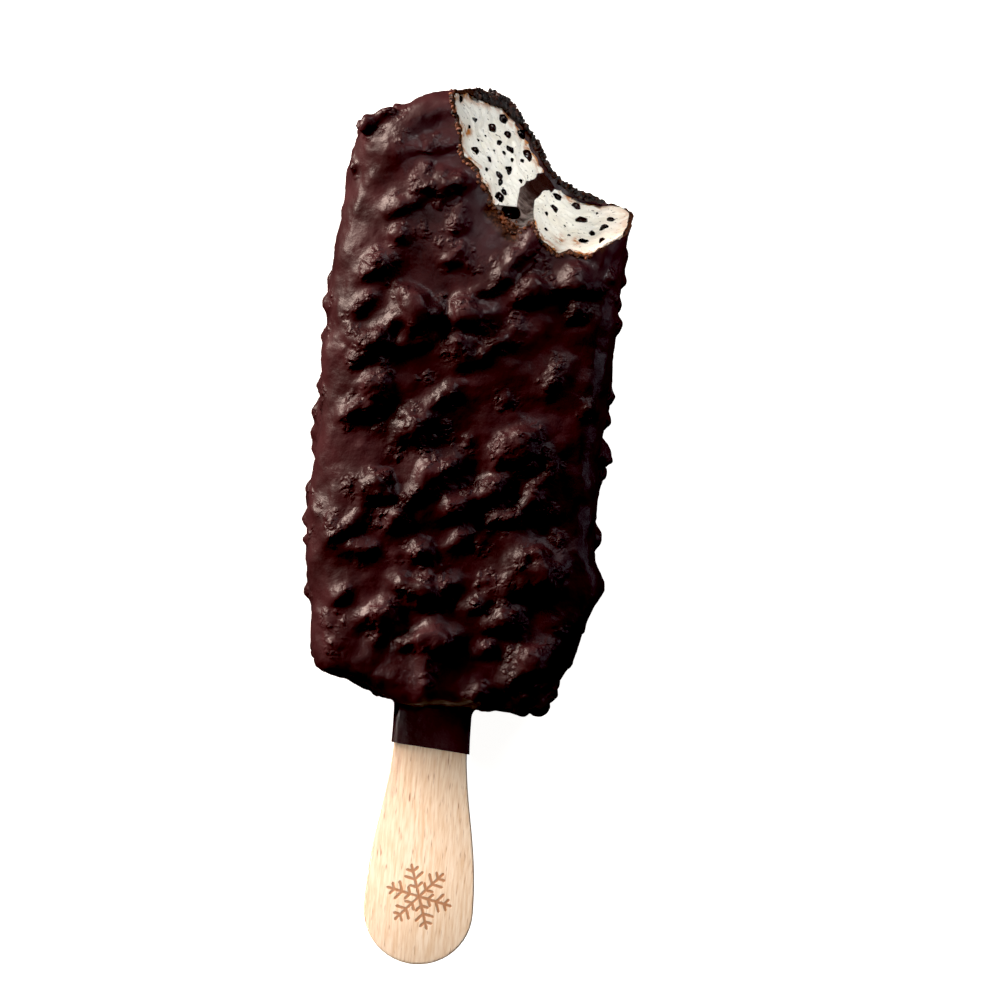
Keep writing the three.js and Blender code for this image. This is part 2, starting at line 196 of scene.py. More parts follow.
def carve(piece: Piece, tool: Mesh, cut: Cut) -> None:
    """Cuts a piece with a closed tool, or joins the two.

    Args:
        piece: The piece, which is changed.
        tool: The tool's mesh in the making, which is freed.
        cut: What the tool does.
    """
    cutter = new_piece("cutter", tool)
    add_modifier(piece, "BOOLEAN", operation=cut.value, object=cutter, solver="MANIFOLD")
    apply_modifiers(piece)
    bpy.data.meshes.remove(cutter.data)


def move_vertices(piece: Piece, rule: Callable[[Vert], Vector]) -> None:
    """Moves each vertex of a piece.

    Args:
        piece: The piece, which is changed.
        rule: Gives the step of a vertex.
    """
    bm = bmesh.new()
    bm.from_mesh(piece.data)
    for vert in bm.verts:
        vert.co += rule(vert)
    bm.to_mesh(piece.data)
    bm.free()


def paint_vertices(piece: Piece, name: str, rule: Callable[[Vector], float]) -> None:
    """Gives each vertex of a piece a value that its material reads.

    Args:
        piece: The piece, which is changed.
        name: The attribute's name.
        rule: Gives the value at a vertex's place.
    """
    values = [rule(vert.co) for vert in piece.data.vertices]
    piece.data.attributes.new(name, "FLOAT", "POINT").data.foreach_set("value", values)


def block(low: Sequence[float], high: Sequence[float]) -> Mesh:
    """Makes a box.

    Args:
        low: The lowest corner.
        high: The highest corner.

    Returns:
        The box's mesh in the making.
    """
    bm = bmesh.new()
    size = Vector(high) - Vector(low)
    middle = (Vector(high) + Vector(low)) / 2
    bmesh.ops.create_cube(bm, size=1, matrix=Matrix.Translation(middle) @ Matrix.Diagonal((*size, 1)))
    return bm


def sweep(bm: Mesh, arrow: Sequence[float]) -> Mesh:
    """Sweeps an open sheet along an arrow.

    Args:
        bm: The sheet's mesh in the making.
        arrow: How far and which way to sweep it.

    Returns:
        The same mesh, closed.
    """
    made = bmesh.ops.extrude_face_region(bm, geom=list(bm.faces))["geom"]
    far = [item for item in made if isinstance(item, Vert)]
    bmesh.ops.translate(bm, verts=far, vec=arrow)
    bmesh.ops.recalc_face_normals(bm, faces=bm.faces)
    return bm


def prism(outline: Sequence[complex], low: float, high: float) -> Mesh:
    """Makes an upright prism.

    Args:
        outline: Its section, anticlockwise.
        low: The height of its underside.
        high: The height of its top.

    Returns:
        The prism's mesh in the making.
    """
    bm = bmesh.new()
    bm.faces.new([bm.verts.new((point.real, point.imag, low)) for point in outline])
    return sweep(bm, UP * (high - low))


def edges_at(bm: Mesh, *heights: float) -> list[bmesh.types.BMEdge]:
    """Finds the level edges of a mesh at some heights."""
    near = 1e-4
    return [edge for edge in bm.edges if any(
        all(abs(vert.co.z - height) < near for vert in edge.verts) for height in heights)]


# ---- The moulded slab ----


@dataclass(frozen=True)
class Corner:
    """A corner of the slab's outline and the radius that rounds it."""

    place: complex
    radius: float


@dataclass(frozen=True)
class Slab:
    """The moulded bar under its nuts. Its rim is rounded by a quarter of an ellipse."""

    thickness: float = 24.5
    back: float = 1.3
    rim_in: float = 3.4
    rim_deep: float = 4.8
    rim_segments: int = 8
    corners: tuple[Corner, ...] = (
        Corner(-6.5+1.0j, 10),
        Corner(17.0+0.8j, 5),
        Corner(22.5+13.0j, 18),
        Corner(23.8+76.0j, 60),
        Corner(22.6+92.6j, 7),
        Corner(2.0+101.6j, 23),
        Corner(-19.7+92.4j, 5),
        Corner(-21.9+66.0j, 60),
        Corner(-21.7+21.0j, 20),
        Corner(-19.0+5.2j, 4.2),
    )

    @property
    def front(self) -> float:
        """The height of the face that shows."""
        return self.back + self.thickness

    @property
    def middle(self) -> float:
        """The height of the stick's middle."""
        return self.back + self.thickness / 2

    def outline(self, arc_step: float) -> list[complex]:
        """Draws the outline.

        Args:
            arc_step: The most that one side of an arc turns, in degrees.

        Returns:
            Its points, anticlockwise.
        """
        points = []
        for index, corner in enumerate(self.corners):
            into = unit(corner.place - self.corners[index - 1].place)
            out = unit(self.corners[(index + 1) % len(self.corners)].place - corner.place)
            turn = math.asin(cross(into, out))
            inward = into * 1j
            centre = corner.place - into * corner.radius * math.tan(turn / 2) + inward * corner.radius
            steps = max(1, math.ceil(turn / math.radians(arc_step)))
            for step in range(steps + 1):
                points.append(centre - inward * cmath.exp(1j * turn * step / steps) * corner.radius)
        return points

    def solid(self) -> Mesh:
        """Makes the slab, its round rim bevelled first and then stretched to an ellipse.

        Returns:
            Its closed mesh in the making.
        """
        stretch = self.rim_deep / self.rim_in
        low, high = self.back / stretch, self.front / stretch
        bm = prism(self.outline(5), low, high)
        bmesh.ops.bevel(
            bm, geom=edges_at(bm, low, high), offset=self.rim_in, segments=self.rim_segments, profile=0.5,
            affect="EDGES", material=-1)
        bmesh.ops.scale(bm, vec=(1, 1, stretch), verts=bm.verts)
        return bm


# ---- The bite ----


@dataclass(frozen=True)
class Tooth:
    """The leaning round scoop that a tooth took: its middle and radius at the front and at the back."""

    front: complex
    front_radius: float
    back: complex
    back_radius: float
    hollow: float


TEETH = (
    Tooth(17.4+97.7j, 22.2, 24.0+104.7j, 20.7, 0.8),
    Tooth(16.7+81.5j, 8.2, 19.0+90.6j, 8.0, 0.5),
)

# The line along which the face broke, from the top edge of the bar to its right side.
FRONT_BREAK = (
    -5.6+101.5j, -5.2+97.5j, -5.0+96.4j, -4.3+93.8j, -3.5+91.6j, -3.2+88.5j, -2.7+87.3j, -1.4+86.3j,
    -0.1+85.5j, 0.4+83.9j, 1.5+82.6j, 2.3+80.5j, 3.7+79.4j, 5.2+78.1j, 6.6+76.9j, 7.8+77.0j,
    8.6+77.8j, 9.3+78.3j,
    9.9+76.8j, 11.0+75.1j, 13.4+73.4j, 15.3+74.0j, 17.8+73.5j, 19.1+74.1j, 20.5+75.4j, 22.3+76.2j,
    23.7+77.4j, 27.5+79.6j,
)
# The line where the ice cream ends at the back, and the one where the chocolate behind it does.
BACK_BREAK = (
    -1.8+102.5j, 0.2+98.2j, 2.4+97.7j, 3.6+96.6j, 4.8+94.9j, 6.4+93.5j,
    7.4+91.9j, 8.1+90.3j, 9.3+88.7j, 10.5+87.2j, 13.3+84.2j, 14.8+83.3j, 16.9+82.4j, 19.2+82.2j,
    21.3+82.6j, 23.2+82.5j, 27.5+82.6j,
)
BACK_SHELL_BREAK = (
    -1.0+102.5j, 1.3+98.9j, 2.8+98.1j, 5.0+96.8j, 5.9+95.3j, 7.3+93.2j, 9.3+91.3j, 10.7+88.4j,
    11.4+87.3j, 13.4+85.4j, 16.1+84.3j, 18.6+83.2j, 20.6+82.7j, 23.3+82.6j, 27.5+82.7j,
)
# Where the skin of the face chipped off beside the break.
CHIPPED = (2.5+79.1j, 6.0+75.8j)
# The point of the bitten room that its walls face, and the direction in which the room opens.
BITE_MIDDLE = 20+99j
BITE_OPENS = unit(0.5+0.87j)
BITE_REACH = 60.0
BITE_OVERRUN = 5.0


def point_along(line: Sequence[complex], share: float) -> complex:
    """Finds the point at a share of a line's length.

    Args:
        line: The line's points.
        share: The share, from 0 to 1.

    Returns:
        The point.
    """
    lengths = [abs(after - before) for before, after in zip(line, line[1:])]
    left = share * sum(lengths)
    for before, after, length in zip(line, line[1:], lengths):
        if left <= length:
            return before + (after - before) * left / length
        left -= length
    return line[-1]


@dataclass(frozen=True)
class BittenWall:
    """The wall that the bite left, as a sheet from the face's break to the back's, roughened by its own grain."""

    slab: Slab
    back_line: tuple[complex, ...]
    hollow: float = 1.0
    coarse: tuple[float, float] = (0.38, 2.4)
    fine: tuple[float, float] = (0.22, 0.8)
    set_back: float = 0.0
    step: float = 0.3
    length: float = 50.0

    def roughness(self, place: Vector) -> float:
        """Gives how far the grain pushes the wall in at a place."""
        pushed = self.set_back
        for height, size in (self.coarse, self.fine):
            pushed += height * noise.noise(place / size)
        return pushed

    def room(self, name: str) -> Mesh:
        """Makes the bitten room, as the wall swept out of the bar.

        Args:
            name: What to call it in the log.

        Returns:
            The room's closed mesh in the making.
        """
        low = self.slab.back - BITE_OVERRUN
        high = self.slab.front + BITE_OVERRUN
        across = round(self.length / self.step)
        upward = round((high - low) / self.step)
        fronts = [point_along(FRONT_BREAK, index / across) for index in range(across + 1)]
        backs = [point_along(self.back_line, index / across) for index in range(across + 1)]
        bm = bmesh.new()
        bmesh.ops.create_grid(bm, x_segments=across, y_segments=upward, size=1)
        for vert in bm.verts:
            index = round((vert.co.x + 1) / 2 * across)
            z = mix(low, high, (vert.co.y + 1) / 2)
            share = (z - self.slab.back) / self.slab.thickness
            place = mix(backs[index], fronts[index], share)
            away = unit(place - BITE_MIDDLE)
            place += away * self.hollow * arch(share)
            place += away * self.roughness(Vector((place.real, place.imag, z)))
            vert.co = (place.real, place.imag, z)
        LOG.info("%s: %d by %d cells", name, across, upward)
        reach = BITE_OPENS * BITE_REACH
        return sweep(bm, (reach.real, reach.imag, 0))


def depth_in_bite(place: complex, z: float, slab: Slab) -> float:
    """Says how far a point is inside the room that the teeth took; negative in what is left of the bar.

    Args:
        place: The point across the bar.
        z: Its height.
        slab: The slab that was bitten.

    Returns:
        The depth in the room.
    """
    share = (z - slab.back) / slab.thickness
    depths = []
    for tooth in TEETH:
        middle = mix(tooth.back, tooth.front, share)
        radius = mix(tooth.back_radius, tooth.front_radius, share)
        radius += tooth.hollow * arch(share)
        depths.append(radius - abs(place - middle))
    return max(depths)


# ---- The stick ----


@dataclass(frozen=True)
class Stick:
    """The paddle stick: widest in its round grip, and a little askew to the bar."""

    length: float = 94.0
    thickness: float = 2.0
    waist: float = 11.5
    grip: float = 17.3
    grip_end: float = -40.35
    shoulder: float = -31.0
    waist_from: float = -3.0
    ease: float = 0.4
    edge: float = 0.4
    lean: float = math.radians(0.7)
    mark: complex = 0.36-29.6j

    @property
    def grip_middle(self) -> complex:
        """The middle of the grip's round end, with the lean."""
        return 1j * (self.grip_end + self.grip / 2) * cmath.exp(1j * self.lean)

    def outline(self, grow: float) -> list[complex]:
        """Draws the stick's outline.

        Args:
            grow: How far outside the stick to draw it.

        Returns:
            Its points, anticlockwise.
        """
        waist = self.waist / 2 + grow
        grip = self.grip / 2 + grow
        grip_y = self.grip_end + self.grip / 2
        top_y = self.grip_end + self.length - self.waist / 2
        reach = (self.waist_from - self.shoulder) * self.ease
        steps = 24
        turns = [math.pi * step / steps for step in range(steps + 1)]
        top = [top_y * 1j + waist * cmath.exp(1j * turn) for turn in turns]
        end = [grip_y * 1j - grip * cmath.exp(1j * turn) for turn in turns]
        bend = (
            complex(-waist, self.waist_from), complex(-waist, self.waist_from - reach),
            complex(-grip, self.shoulder + reach), complex(-grip, self.shoulder),
        )
        down = [self.bezier(bend, step / steps) for step in range(steps + 1)]
        up = [complex(-point.real, point.imag) for point in reversed(down)]
        return [point * cmath.exp(1j * self.lean) for point in top + down + end + up]

    @staticmethod
    def bezier(points: Sequence[complex], t: float) -> complex:
        """Finds a point of a cubic curve."""
        weights = ((1 - t) ** 3, 3 * t * (1 - t) ** 2, 3 * t * t * (1 - t), t ** 3)
        return sum(weight * point for weight, point in zip(weights, points))

    def solid(self, middle: float, grow: float = 0.0) -> Mesh:
        """Makes the stick with sharp edges.

        Args:
            middle: The height of its middle.
            grow: How much larger than the stick to make it, on every side.

        Returns:
            Its mesh in the making.
        """
        half = self.thickness / 2 + grow
        return prism(self.outline(grow), middle - half, middle + half)

    def build(self, middle: float) -> Piece:
        """Makes the stick, its rims a little rounded.

        Args:
            middle: The height of its middle.

        Returns:
            The piece, still in the bar's own frame.
        """
        bm = self.solid(middle)
        half = self.thickness / 2
        rim = edges_at(bm, middle - half, middle + half)
        bmesh.ops.bevel(bm, geom=rim, offset=self.edge, segments=3, profile=0.5, affect="EDGES", material=-1)
        return new_piece("beech_stick", bm)


class BarFrame:
    """Takes meshes from the bar's own frame, in millimetres, into the row's frame, in metres."""

    def __init__(self, slab: Slab, stick: Stick) -> None:
        """Finds the bar's origin in the row's frame from where the solid stick lies.

        Args:
            slab: The slab, for the height of the stick's middle in it.
            stick: The stick.
        """
        low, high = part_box("stick")
        grip = stick.grip_middle
        self.origin = Vector((
            (low.x + high.x) / 2 - grip.real * MM,
            low.y - (grip.imag - stick.grip / 2) * MM,
            (low.z + high.z) / 2 - slab.middle * MM,
        ))
        LOG.info("the bar's origin is at %s", tuple(round(value, 5) for value in self.origin))

    def place(self, piece: Piece) -> None:
        """Moves a finished piece's mesh into the row's frame."""
        piece.data.transform(Matrix.Translation(self.origin) @ Matrix.Scale(MM, 4))

    def point(self, place: complex, z: float) -> Vector:
        """Gives a point of the bar in the row's frame."""
        return self.origin + Vector((place.real, place.imag, z)) * MM


# ---- Chopped nuts ----


@dataclass(frozen=True)
class Nut:
    """A chopped nut: its middle and its radius."""

    place: complex
    z: float
    radius: float


class Side(Enum):
    """A side of the bar."""

    FRONT = 1
    BACK = -1


# Groups of nuts that stand out most on the face: place and size.
FACE_GROUPS = (
    (-7.0+89.6j, 1.0), (-5.4+83.2j, 2.3), (-12.5+79.1j, 1.0), (-2.0+71.8j, 1.7), (-14.9+69.7j, 1.5),
    (5.3+69.4j, 1.2), (10.1+67.6j, 2.1), (16.7+69.6j, 1.9), (17.1+65.0j, 1.1), (-7.9+62.5j, 2.8),
    (0.2+62.9j, 2.1), (7.6+60.8j, 1.2), (-15.5+56.6j, 2.4), (-9.2+57.5j, 1.2), (-0.4+57.0j, 1.8),
    (14.4+53.8j, 1.0), (-14.0+50.3j, 1.4), (-6.7+44.5j, 1.9), (10.2+42.2j, 2.7), (15.3+39.9j, 1.2),
    (-3.2+36.9j, 2.1), (6.2+35.6j, 1.6), (-11.7+34.6j, 1.7), (12.6+34.7j, 1.3), (0.7+32.3j, 1.5),
    (9.0+31.4j, 1.4), (-8.3+29.8j, 1.0), (-3.9+25.1j, 1.3), (-13.1+24.4j, 1.2), (14.3+22.7j, 3.0),
    (-3.0+18.6j, 2.0), (10.1+15.2j, 1.6), (-9.3+14.4j, 1.9), (-0.6+10.9j, 2.2), (14.8+8.9j, 2.3),
)
# Nuts along the two sides, height along the bar and size, and those on the feet beside the stick.
LEFT_SIDE = (
    (91.4, 1.0), (66.4, 1.3), (62.2, 1.1), (57.6, 1.3), (45.7, 1.9), (39.4, 1.1), (33.0, 1.7), (28.6, 1.7),
    (25.1, 1.2), (17.2, 1.4), (7.4, 1.0),
)
RIGHT_SIDE = (
    (74.3, 1.3), (70.3, 1.5), (63.0, 1.5), (52.1, 1.5), (48.1, 1.4), (42.6, 2.4), (39.5, 1.6), (29.4, 2.0),
    (22.0, 2.7), (15.0, 1.0),
)
FOOT_NUTS = ((-9.2+2.2j, 1.0), (13.3+1.3j, 1.1), (16.6+2.4j, 2.1))
# Large nuts on the back, which meet the table and carry the bar.
RESTING_NUTS = (-13+21j, 14+25j, -12.5+74j, 12.5+62j, 1+46j)
# Further single nuts on the face: place and radius.
SINGLE_NUTS = (
    (0.3+70.4j, 0.9), (-2.7+72.5j, 0.8), (6.2+59.1j, 0.9), (8.2+62.2j, 0.9), (-1.2+58.2j, 1.3),
    (0.8+55.5j, 1.3), (-1.6+50.7j, 0.8), (-2.4+44.9j, 0.9), (7.7+31.1j, 0.9), (10.3+31.7j, 1.1),
    (2.0+26.7j, 0.9), (-5.1+18.8j, 1.1), (-0.8+18.5j, 1.7), (7.5+10.2j, 0.9), (6.4+2.6j, 0.9),
    (16.4+2.7j, 1.7), (-18.2+58.8j, 0.9), (-18.2+92.5j, 0.8),
)


# Folds in the chocolate of the face, steeper on their right: start, end, width of the slow slope and height.
FOLDS = (
    (-9.9+80.4j, -8.4+85.4j, 1.5, 1.0), (-6.7+83.1j, -3.0+83.4j, 1.7, 1.3),
    (-9.7+88.2j, -4.4+89.2j, 1.4, 0.8), (-13.8+77.6j, -9.4+80.1j, 1.5, 1.0),
    (-2.7+76.0j, -1.9+79.7j, 1.2, 0.8), (5.1+69.4j, 10.0+75.6j, 1.8, 1.2),
    (-16.6+67.6j, -13.4+70.0j, 1.4, 1.0), (-3.6+71.6j, -1.6+73.2j, 1.0, 0.6),
    (-17.5+61.5j, -15.6+63.9j, 1.6, 0.9), (-11.3+60.2j, -8.4+62.8j, 1.8, 1.5),
    (-8.4+62.8j, -4.8+62.1j, 1.6, 1.5), (-1.8+61.4j, 0.4+63.4j, 1.6, 1.4), (0.4+63.4j, 3.3+62.8j, 1.5, 1.3),
    (-17.5+57.5j, -12.5+58.0j, 1.6, 1.3), (-10.6+56.3j, -6.4+58.1j, 1.4, 1.0),
    (-2.7+57.5j, 1.2+58.2j, 1.4, 0.9), (-0.7+54.3j, 3.5+56.6j, 1.2, 1.0), (4.1+57.6j, 6.8+59.6j, 1.4, 0.9),
    (8.1+66.1j, 12.3+67.1j, 1.7, 1.5), (14.4+68.2j, 19.2+68.5j, 1.7, 1.4), (1.7+66.6j, 5.2+68.3j, 1.3, 0.9),
    (-15.4+50.0j, -12.7+51.1j, 1.5, 1.2), (-14.2+46.3j, -12.6+50.0j, 1.6, 1.4),
    (-17.9+45.2j, -14.3+47.0j, 1.6, 1.3), (-8.0+43.2j, -5.0+45.6j, 1.8, 1.4),
    (-5.1+47.1j, -1.1+50.7j, 1.5, 1.0), (6.7+40.5j, 11.4+44.0j, 2.2, 1.5),
    (8.5+40.3j, 12.5+41.7j, 1.8, 1.6), (14.3+52.7j, 15.6+54.2j, 2.4, 0.9),
    (16.3+63.3j, 17.4+64.5j, 1.3, 1.0), (-4.2+37.0j, -0.1+39.2j, 1.6, 1.2),
    (-6.7+32.6j, -4.1+35.4j, 1.5, 1.2), (-4.1+35.4j, -0.0+38.6j, 1.6, 1.3),
    (-0.5+31.0j, 1.2+32.9j, 1.4, 1.1), (1.2+32.9j, 5.0+34.4j, 1.4, 1.2), (5.0+34.4j, 8.2+37.2j, 1.5, 1.3),
    (6.8+36.7j, 6.9+40.3j, 1.3, 0.9), (12.1+33.9j, 14.2+37.3j, 1.1, 0.8),
    (14.2+37.3j, 15.6+39.6j, 1.1, 0.8), (6.8+30.4j, 8.3+31.8j, 1.1, 0.9), (9.3+30.8j, 11.7+32.4j, 1.2, 1.0),
    (-8.7+28.5j, -7.7+30.7j, 1.2, 0.9), (-13.5+31.7j, -13.2+34.6j, 1.5, 0.9),
    (-13.2+34.6j, -10.0+33.1j, 1.8, 1.3), (-16.1+24.1j, -11.8+24.8j, 1.5, 1.0),
    (-18.4+25.5j, -15.0+27.9j, 2.0, 1.2), (-4.6+24.2j, -3.3+25.9j, 1.2, 1.0),
    (0.5+25.9j, 2.5+27.5j, 1.2, 0.8), (-7.1+19.4j, -2.6+18.5j, 1.8, 1.2), (-2.6+18.5j, 1.5+20.2j, 1.5, 1.2),
    (10.6+20.4j, 12.0+24.8j, 3.0, 1.6), (12.0+24.8j, 15.9+25.2j, 2.4, 1.2),
    (13.7+21.0j, 15.1+22.2j, 1.6, 1.3), (17.6+22.4j, 18.1+24.7j, 1.6, 1.2),
    (4.7+16.6j, 7.2+17.9j, 1.6, 0.8), (8.2+14.2j, 11.7+15.8j, 1.6, 1.2),
    (-12.3+13.0j, -7.8+15.2j, 1.8, 1.3), (-9.7+10.4j, -8.0+13.8j, 1.5, 1.2),
    (-17.2+15.8j, -15.5+17.1j, 1.5, 0.7), (-5.2+10.0j, -2.0+11.0j, 1.6, 1.0),
    (-2.0+11.0j, 2.1+11.7j, 1.5, 1.1), (6.8+10.0j, 8.1+11.0j, 1.2, 0.8), (11.9+5.1j, 14.8+8.3j, 1.8, 1.4),
    (14.8+8.3j, 17.8+11.1j, 1.6, 1.3), (-1.4+3.6j, -1.1+11.6j, 2.2, 1.3), (6.0+2.5j, 7.7+3.5j, 1.4, 0.9),
    (13.8+3.1j, 14.8+3.9j, 1.2, 0.8),
)
# Where the sides stand out further than the slab, or less far where the height is negative: place, size and height.
BULGES = (
    (24.2+81.6j, 4.0, 1.6), (-3.0+99.5j, 7.0, -0.5), (23.5+21.5j, 3.5, 2.4), (-20.0+31.0j, 6.0, 0.5),
    (-17.2+93.2j, 4.2, -2.4),
)
# Slow swells and hollows of the face: place, size and height.
SWELLS = ((-13.4+88.0j, 3.6, 1.3), (-6.6+90.5j, 4.2, -1.3))
# Nuts on the top left corner: place, height and radius.
CORNER_NUTS = (
    (-18.9+90.5j, 23.0, 0.95), (-18.3+91.6j, 23.0, 1.0), (-17.3+92.3j, 23.0, 0.95), (-15.9+93.2j, 23.0, 0.9),
    (-14.7+93.8j, 23.0, 0.95), (-13.5+93.9j, 23.0, 0.8), (-16.8+92.7j, 18.0, 0.9), (-17.9+90.6j, 23.0, 0.6),
    (-16.4+91.9j, 23.0, 0.65), (-14.9+92.9j, 23.0, 0.6), (-18.9+89.3j, 23.0, 0.6), (-18.9+91.4j, 17.5, 0.8),
)


@dataclass
class NutBed:
    """Where the nuts lie: listed where the largest are, and by seeded rules over the rest.

    A pair of numbers is the least and the most of what a stream draws.
    """

    slab: Slab
    stick: Stick
    spacing: float = 0.5
    group_radius: float = 1.15
    group_out: tuple[float, float] = (0.6, 0.75)
    beside_reach: tuple[float, float] = (0.8, 1.15)
    beside_size: tuple[float, float] = (0.45, 0.65)
    beside_out: tuple[float, float] = (0.8, 1.1)
    side_stands_out: float = 0.85
    resting_height: float = 1.6
    resting_radius: float = 2.6
    single_out: float = 0.8
    fold_each: float = 1.2
    fold_size: tuple[float, float] = (0.4, 0.75)
    fold_out: tuple[float, float] = (0.7, 1.1)
    small_reach: tuple[float, float] = (0.7, 1.5)
    small_size: tuple[float, float] = (0.45, 0.8)
    small_out: tuple[float, float] = (0.8, 1.3)
    crumb_count: int = 70
    crumb_size: tuple[float, float] = (0.5, 0.95)
    crumb_out: float = 0.7
    crumb_clear: float = 3
    face_count: int = 38
    back_count: int = 44
    rim_count: int = 30
    least: float = 0.8
    most: float = 1.7
    back_most: float = 2.6
    back_stands_out: float = 1.2
    stands_out: tuple[float, float] = (0.45, 0.75)
    rim_top: float = 86.0
    clear_of_bite: float = 0.6
    clear_of_stick: float = 3.0
    stick_half: float = 5.5
    stick_to: float = 1.7
    apart: float = 0.95
    tries: int = 60

    def __post_init__(self) -> None:
        """Draws the outline that the solids' nuts were placed on."""
        self.outline = self.slab.outline(14)
        self.edges = list(zip(self.outline, self.outline[1:] + self.outline[:1]))
        self.length = sum(abs(end - start) for start, end in self.edges)
        steps = math.ceil(self.length / self.spacing)
        self.places = [self.rim_place(index * self.spacing) for index in range(steps)]
        self.nuts: list[Nut] = []

    def depth_inside(self, place: complex) -> float:
        """Says how far a place is inside the outline; negative outside it."""
        return min(cross(unit(end - start), place - start) for start, end in self.edges)

    def rim_drop(self, place: complex) -> float:
        """Says how far the slab's face has dropped at a place, where the rim rounds over."""
        over = max(0.0, self.slab.rim_in - self.depth_inside(place)) / self.slab.rim_in
        return self.slab.rim_deep * (1 - math.sqrt(max(0.0, 1 - over * over)))

    def rim_place(self, distance: float) -> tuple[complex, complex]:
        """Gives a point of the outline, at a distance along it, and the way out of it.

        Args:
            distance: How far along the outline it is from the outline's first point.

        Returns:
            The point and the way out, one long.
        """
        left = distance
        for start, end in self.edges:
            length = abs(end - start)
            if left <= length:
                along = unit(end - start)
                return start + along * left, along * -1j
            left -= length
        return self.rim_place(0.0)

    def side_place(self, y: float, side: int) -> tuple[complex, complex]:
        """Gives the point of the outline at a height along the bar, on its left (-1) or right (1) side."""
        return min(self.places, key=lambda found: (
            abs(found[0].imag - y) if found[1].real * side > 0 else math.inf))

    def face_nut(self, place: complex, radius: float, side: Side, stands_out: float) -> Nut:
        """Sets a nut into the front or the back of the slab.

        Args:
            place: Where it lies across the bar.
            radius: Its radius.
            side: The front or the back.
            stands_out: How far it stands out of the slab.

        Returns:
            The nut.
        """
        drop = self.rim_drop(place)
        surface = self.slab.front - drop if side is Side.FRONT else self.slab.back + drop
        return Nut(place, surface + side.value * (stands_out - radius), radius)

    def rim_nut(self, found: tuple[complex, complex], z: float, radius: float, stands_out: float) -> Nut:
        """Sets a nut into the side of the slab, at a point of its outline.

        Args:
            found: The point and the way out of the outline there.
            z: The nut's height.
            radius: Its radius.
            stands_out: How far it stands out of the slab.

        Returns:
            The nut.
        """
        return Nut(found[0] + found[1] * (stands_out - radius), z, radius)

    def grouped(self) -> Iterator[Nut]:
        """Gives the large nut of each group on the face, with smaller ones against it.

        Yields:
            Each nut.
        """
        stream = Stream(11)
        for place, size in FACE_GROUPS:
            out = size * stream.between(*self.group_out)
            yield self.face_nut(place, size * self.group_radius, Side.FRONT, out)
            start = math.tau * stream.draw()
            smaller = math.floor(size + 0.5)
            for index in range(smaller):
                angle = start + index * math.tau / smaller + stream.between(-0.4, 0.4)
                reach = size * stream.between(*self.beside_reach)
                radius = size * stream.between(*self.beside_size)
                beside = place + reach * cmath.exp(1j * angle)
                yield self.face_nut(beside, radius, Side.FRONT, radius * stream.between(*self.beside_out))

    def along_sides(self) -> Iterator[Nut]:
        """Gives the nuts along both sides, on the feet and at the back where the bar rests.

        Yields:
            Each nut.
        """
        stream = Stream(23)
        half = self.slab.thickness / 4
        low, high = self.slab.middle - half, self.slab.middle + half
        for nuts, side in ((LEFT_SIDE, -1), (RIGHT_SIDE, 1)):
            for y, radius in nuts:
                z = stream.between(low, high)
                yield self.rim_nut(self.side_place(y, side), z, radius, radius * self.side_stands_out)
        for place, radius in FOOT_NUTS:
            yield Nut(place, stream.between(low, high), radius)
        for place in RESTING_NUTS:
            yield Nut(place, self.resting_height, self.resting_radius)

    def has_room(self, nut: Nut) -> bool:
        """True where a nut has room beside the others and stays off the bite and the stick.

        Args:
            nut: The nut.

        Returns:
            Whether it has room.
        """
        if depth_in_bite(nut.place, nut.z, self.slab) >= -(nut.radius + self.clear_of_bite):
            return False
        if nut.place.imag <= self.stick_to and abs(nut.place.real) <= self.stick_half + self.clear_of_stick:
            return False
        return all(
            math.hypot(abs(nut.place - other.place), nut.z - other.z) > self.apart * (nut.radius + other.radius)
            for other in self.nuts)

    def strew(self, count: int, make: Callable[[], Nut | None]) -> None:
        """Adds nuts made by a rule until a number of them has found room.

        Args:
            count: The number.
            make: The rule, which makes a nut, or nothing.
        """
        placed = 0
        for _ in range(self.tries * count):
            if placed == count:
                return
            nut = make()
            if nut is not None and self.has_room(nut):
                self.nuts.append(nut)
                placed += 1

    def face_rule(self, seed: int, side: Side, most: float, out_most: float) -> Callable[[], Nut | None]:
        """Makes a rule for nuts on the front or the back, with more small ones than large.

        Args:
            seed: The rule's own seed.
            side: The front or the back.
            most: The largest radius.
            out_most: The most that a nut stands out.

        Returns:
            The rule.
        """
        stream = Stream(seed)
        low = complex(min(p.real for p in self.outline), min(p.imag for p in self.outline))
        high = complex(max(p.real for p in self.outline), max(p.imag for p in self.outline))

        def make() -> Nut | None:
            """Makes a nut, or nothing where it would lie on the rim."""
            place = complex(stream.between(low.real, high.real), stream.between(low.imag, high.imag))
            radius = self.least + (most - self.least) * stream.draw() ** 2
            stands_out = min(radius * stream.between(*self.stands_out), out_most)
            return self.face_nut(place, radius, side, stands_out) if self.depth_inside(place) > radius else None

        return make

    def rim_rule(self, seed: int) -> Callable[[], Nut | None]:
        """Makes a rule for nuts round the slab's side.

        Args:
            seed: The rule's own seed.

        Returns:
            The rule.
        """
        stream = Stream(seed)

        def make() -> Nut | None:
            """Makes a nut, or nothing where it would lie by the bite."""
            found = self.rim_place(stream.between(0, self.length))
            z = stream.between(self.slab.back + self.slab.rim_deep, self.slab.front - self.slab.rim_deep)
            radius = stream.between(self.least, self.most)
            stands_out = radius * stream.between(*self.stands_out)
            return self.rim_nut(found, z, radius, stands_out) if found[0].imag < self.rim_top else None

        return make

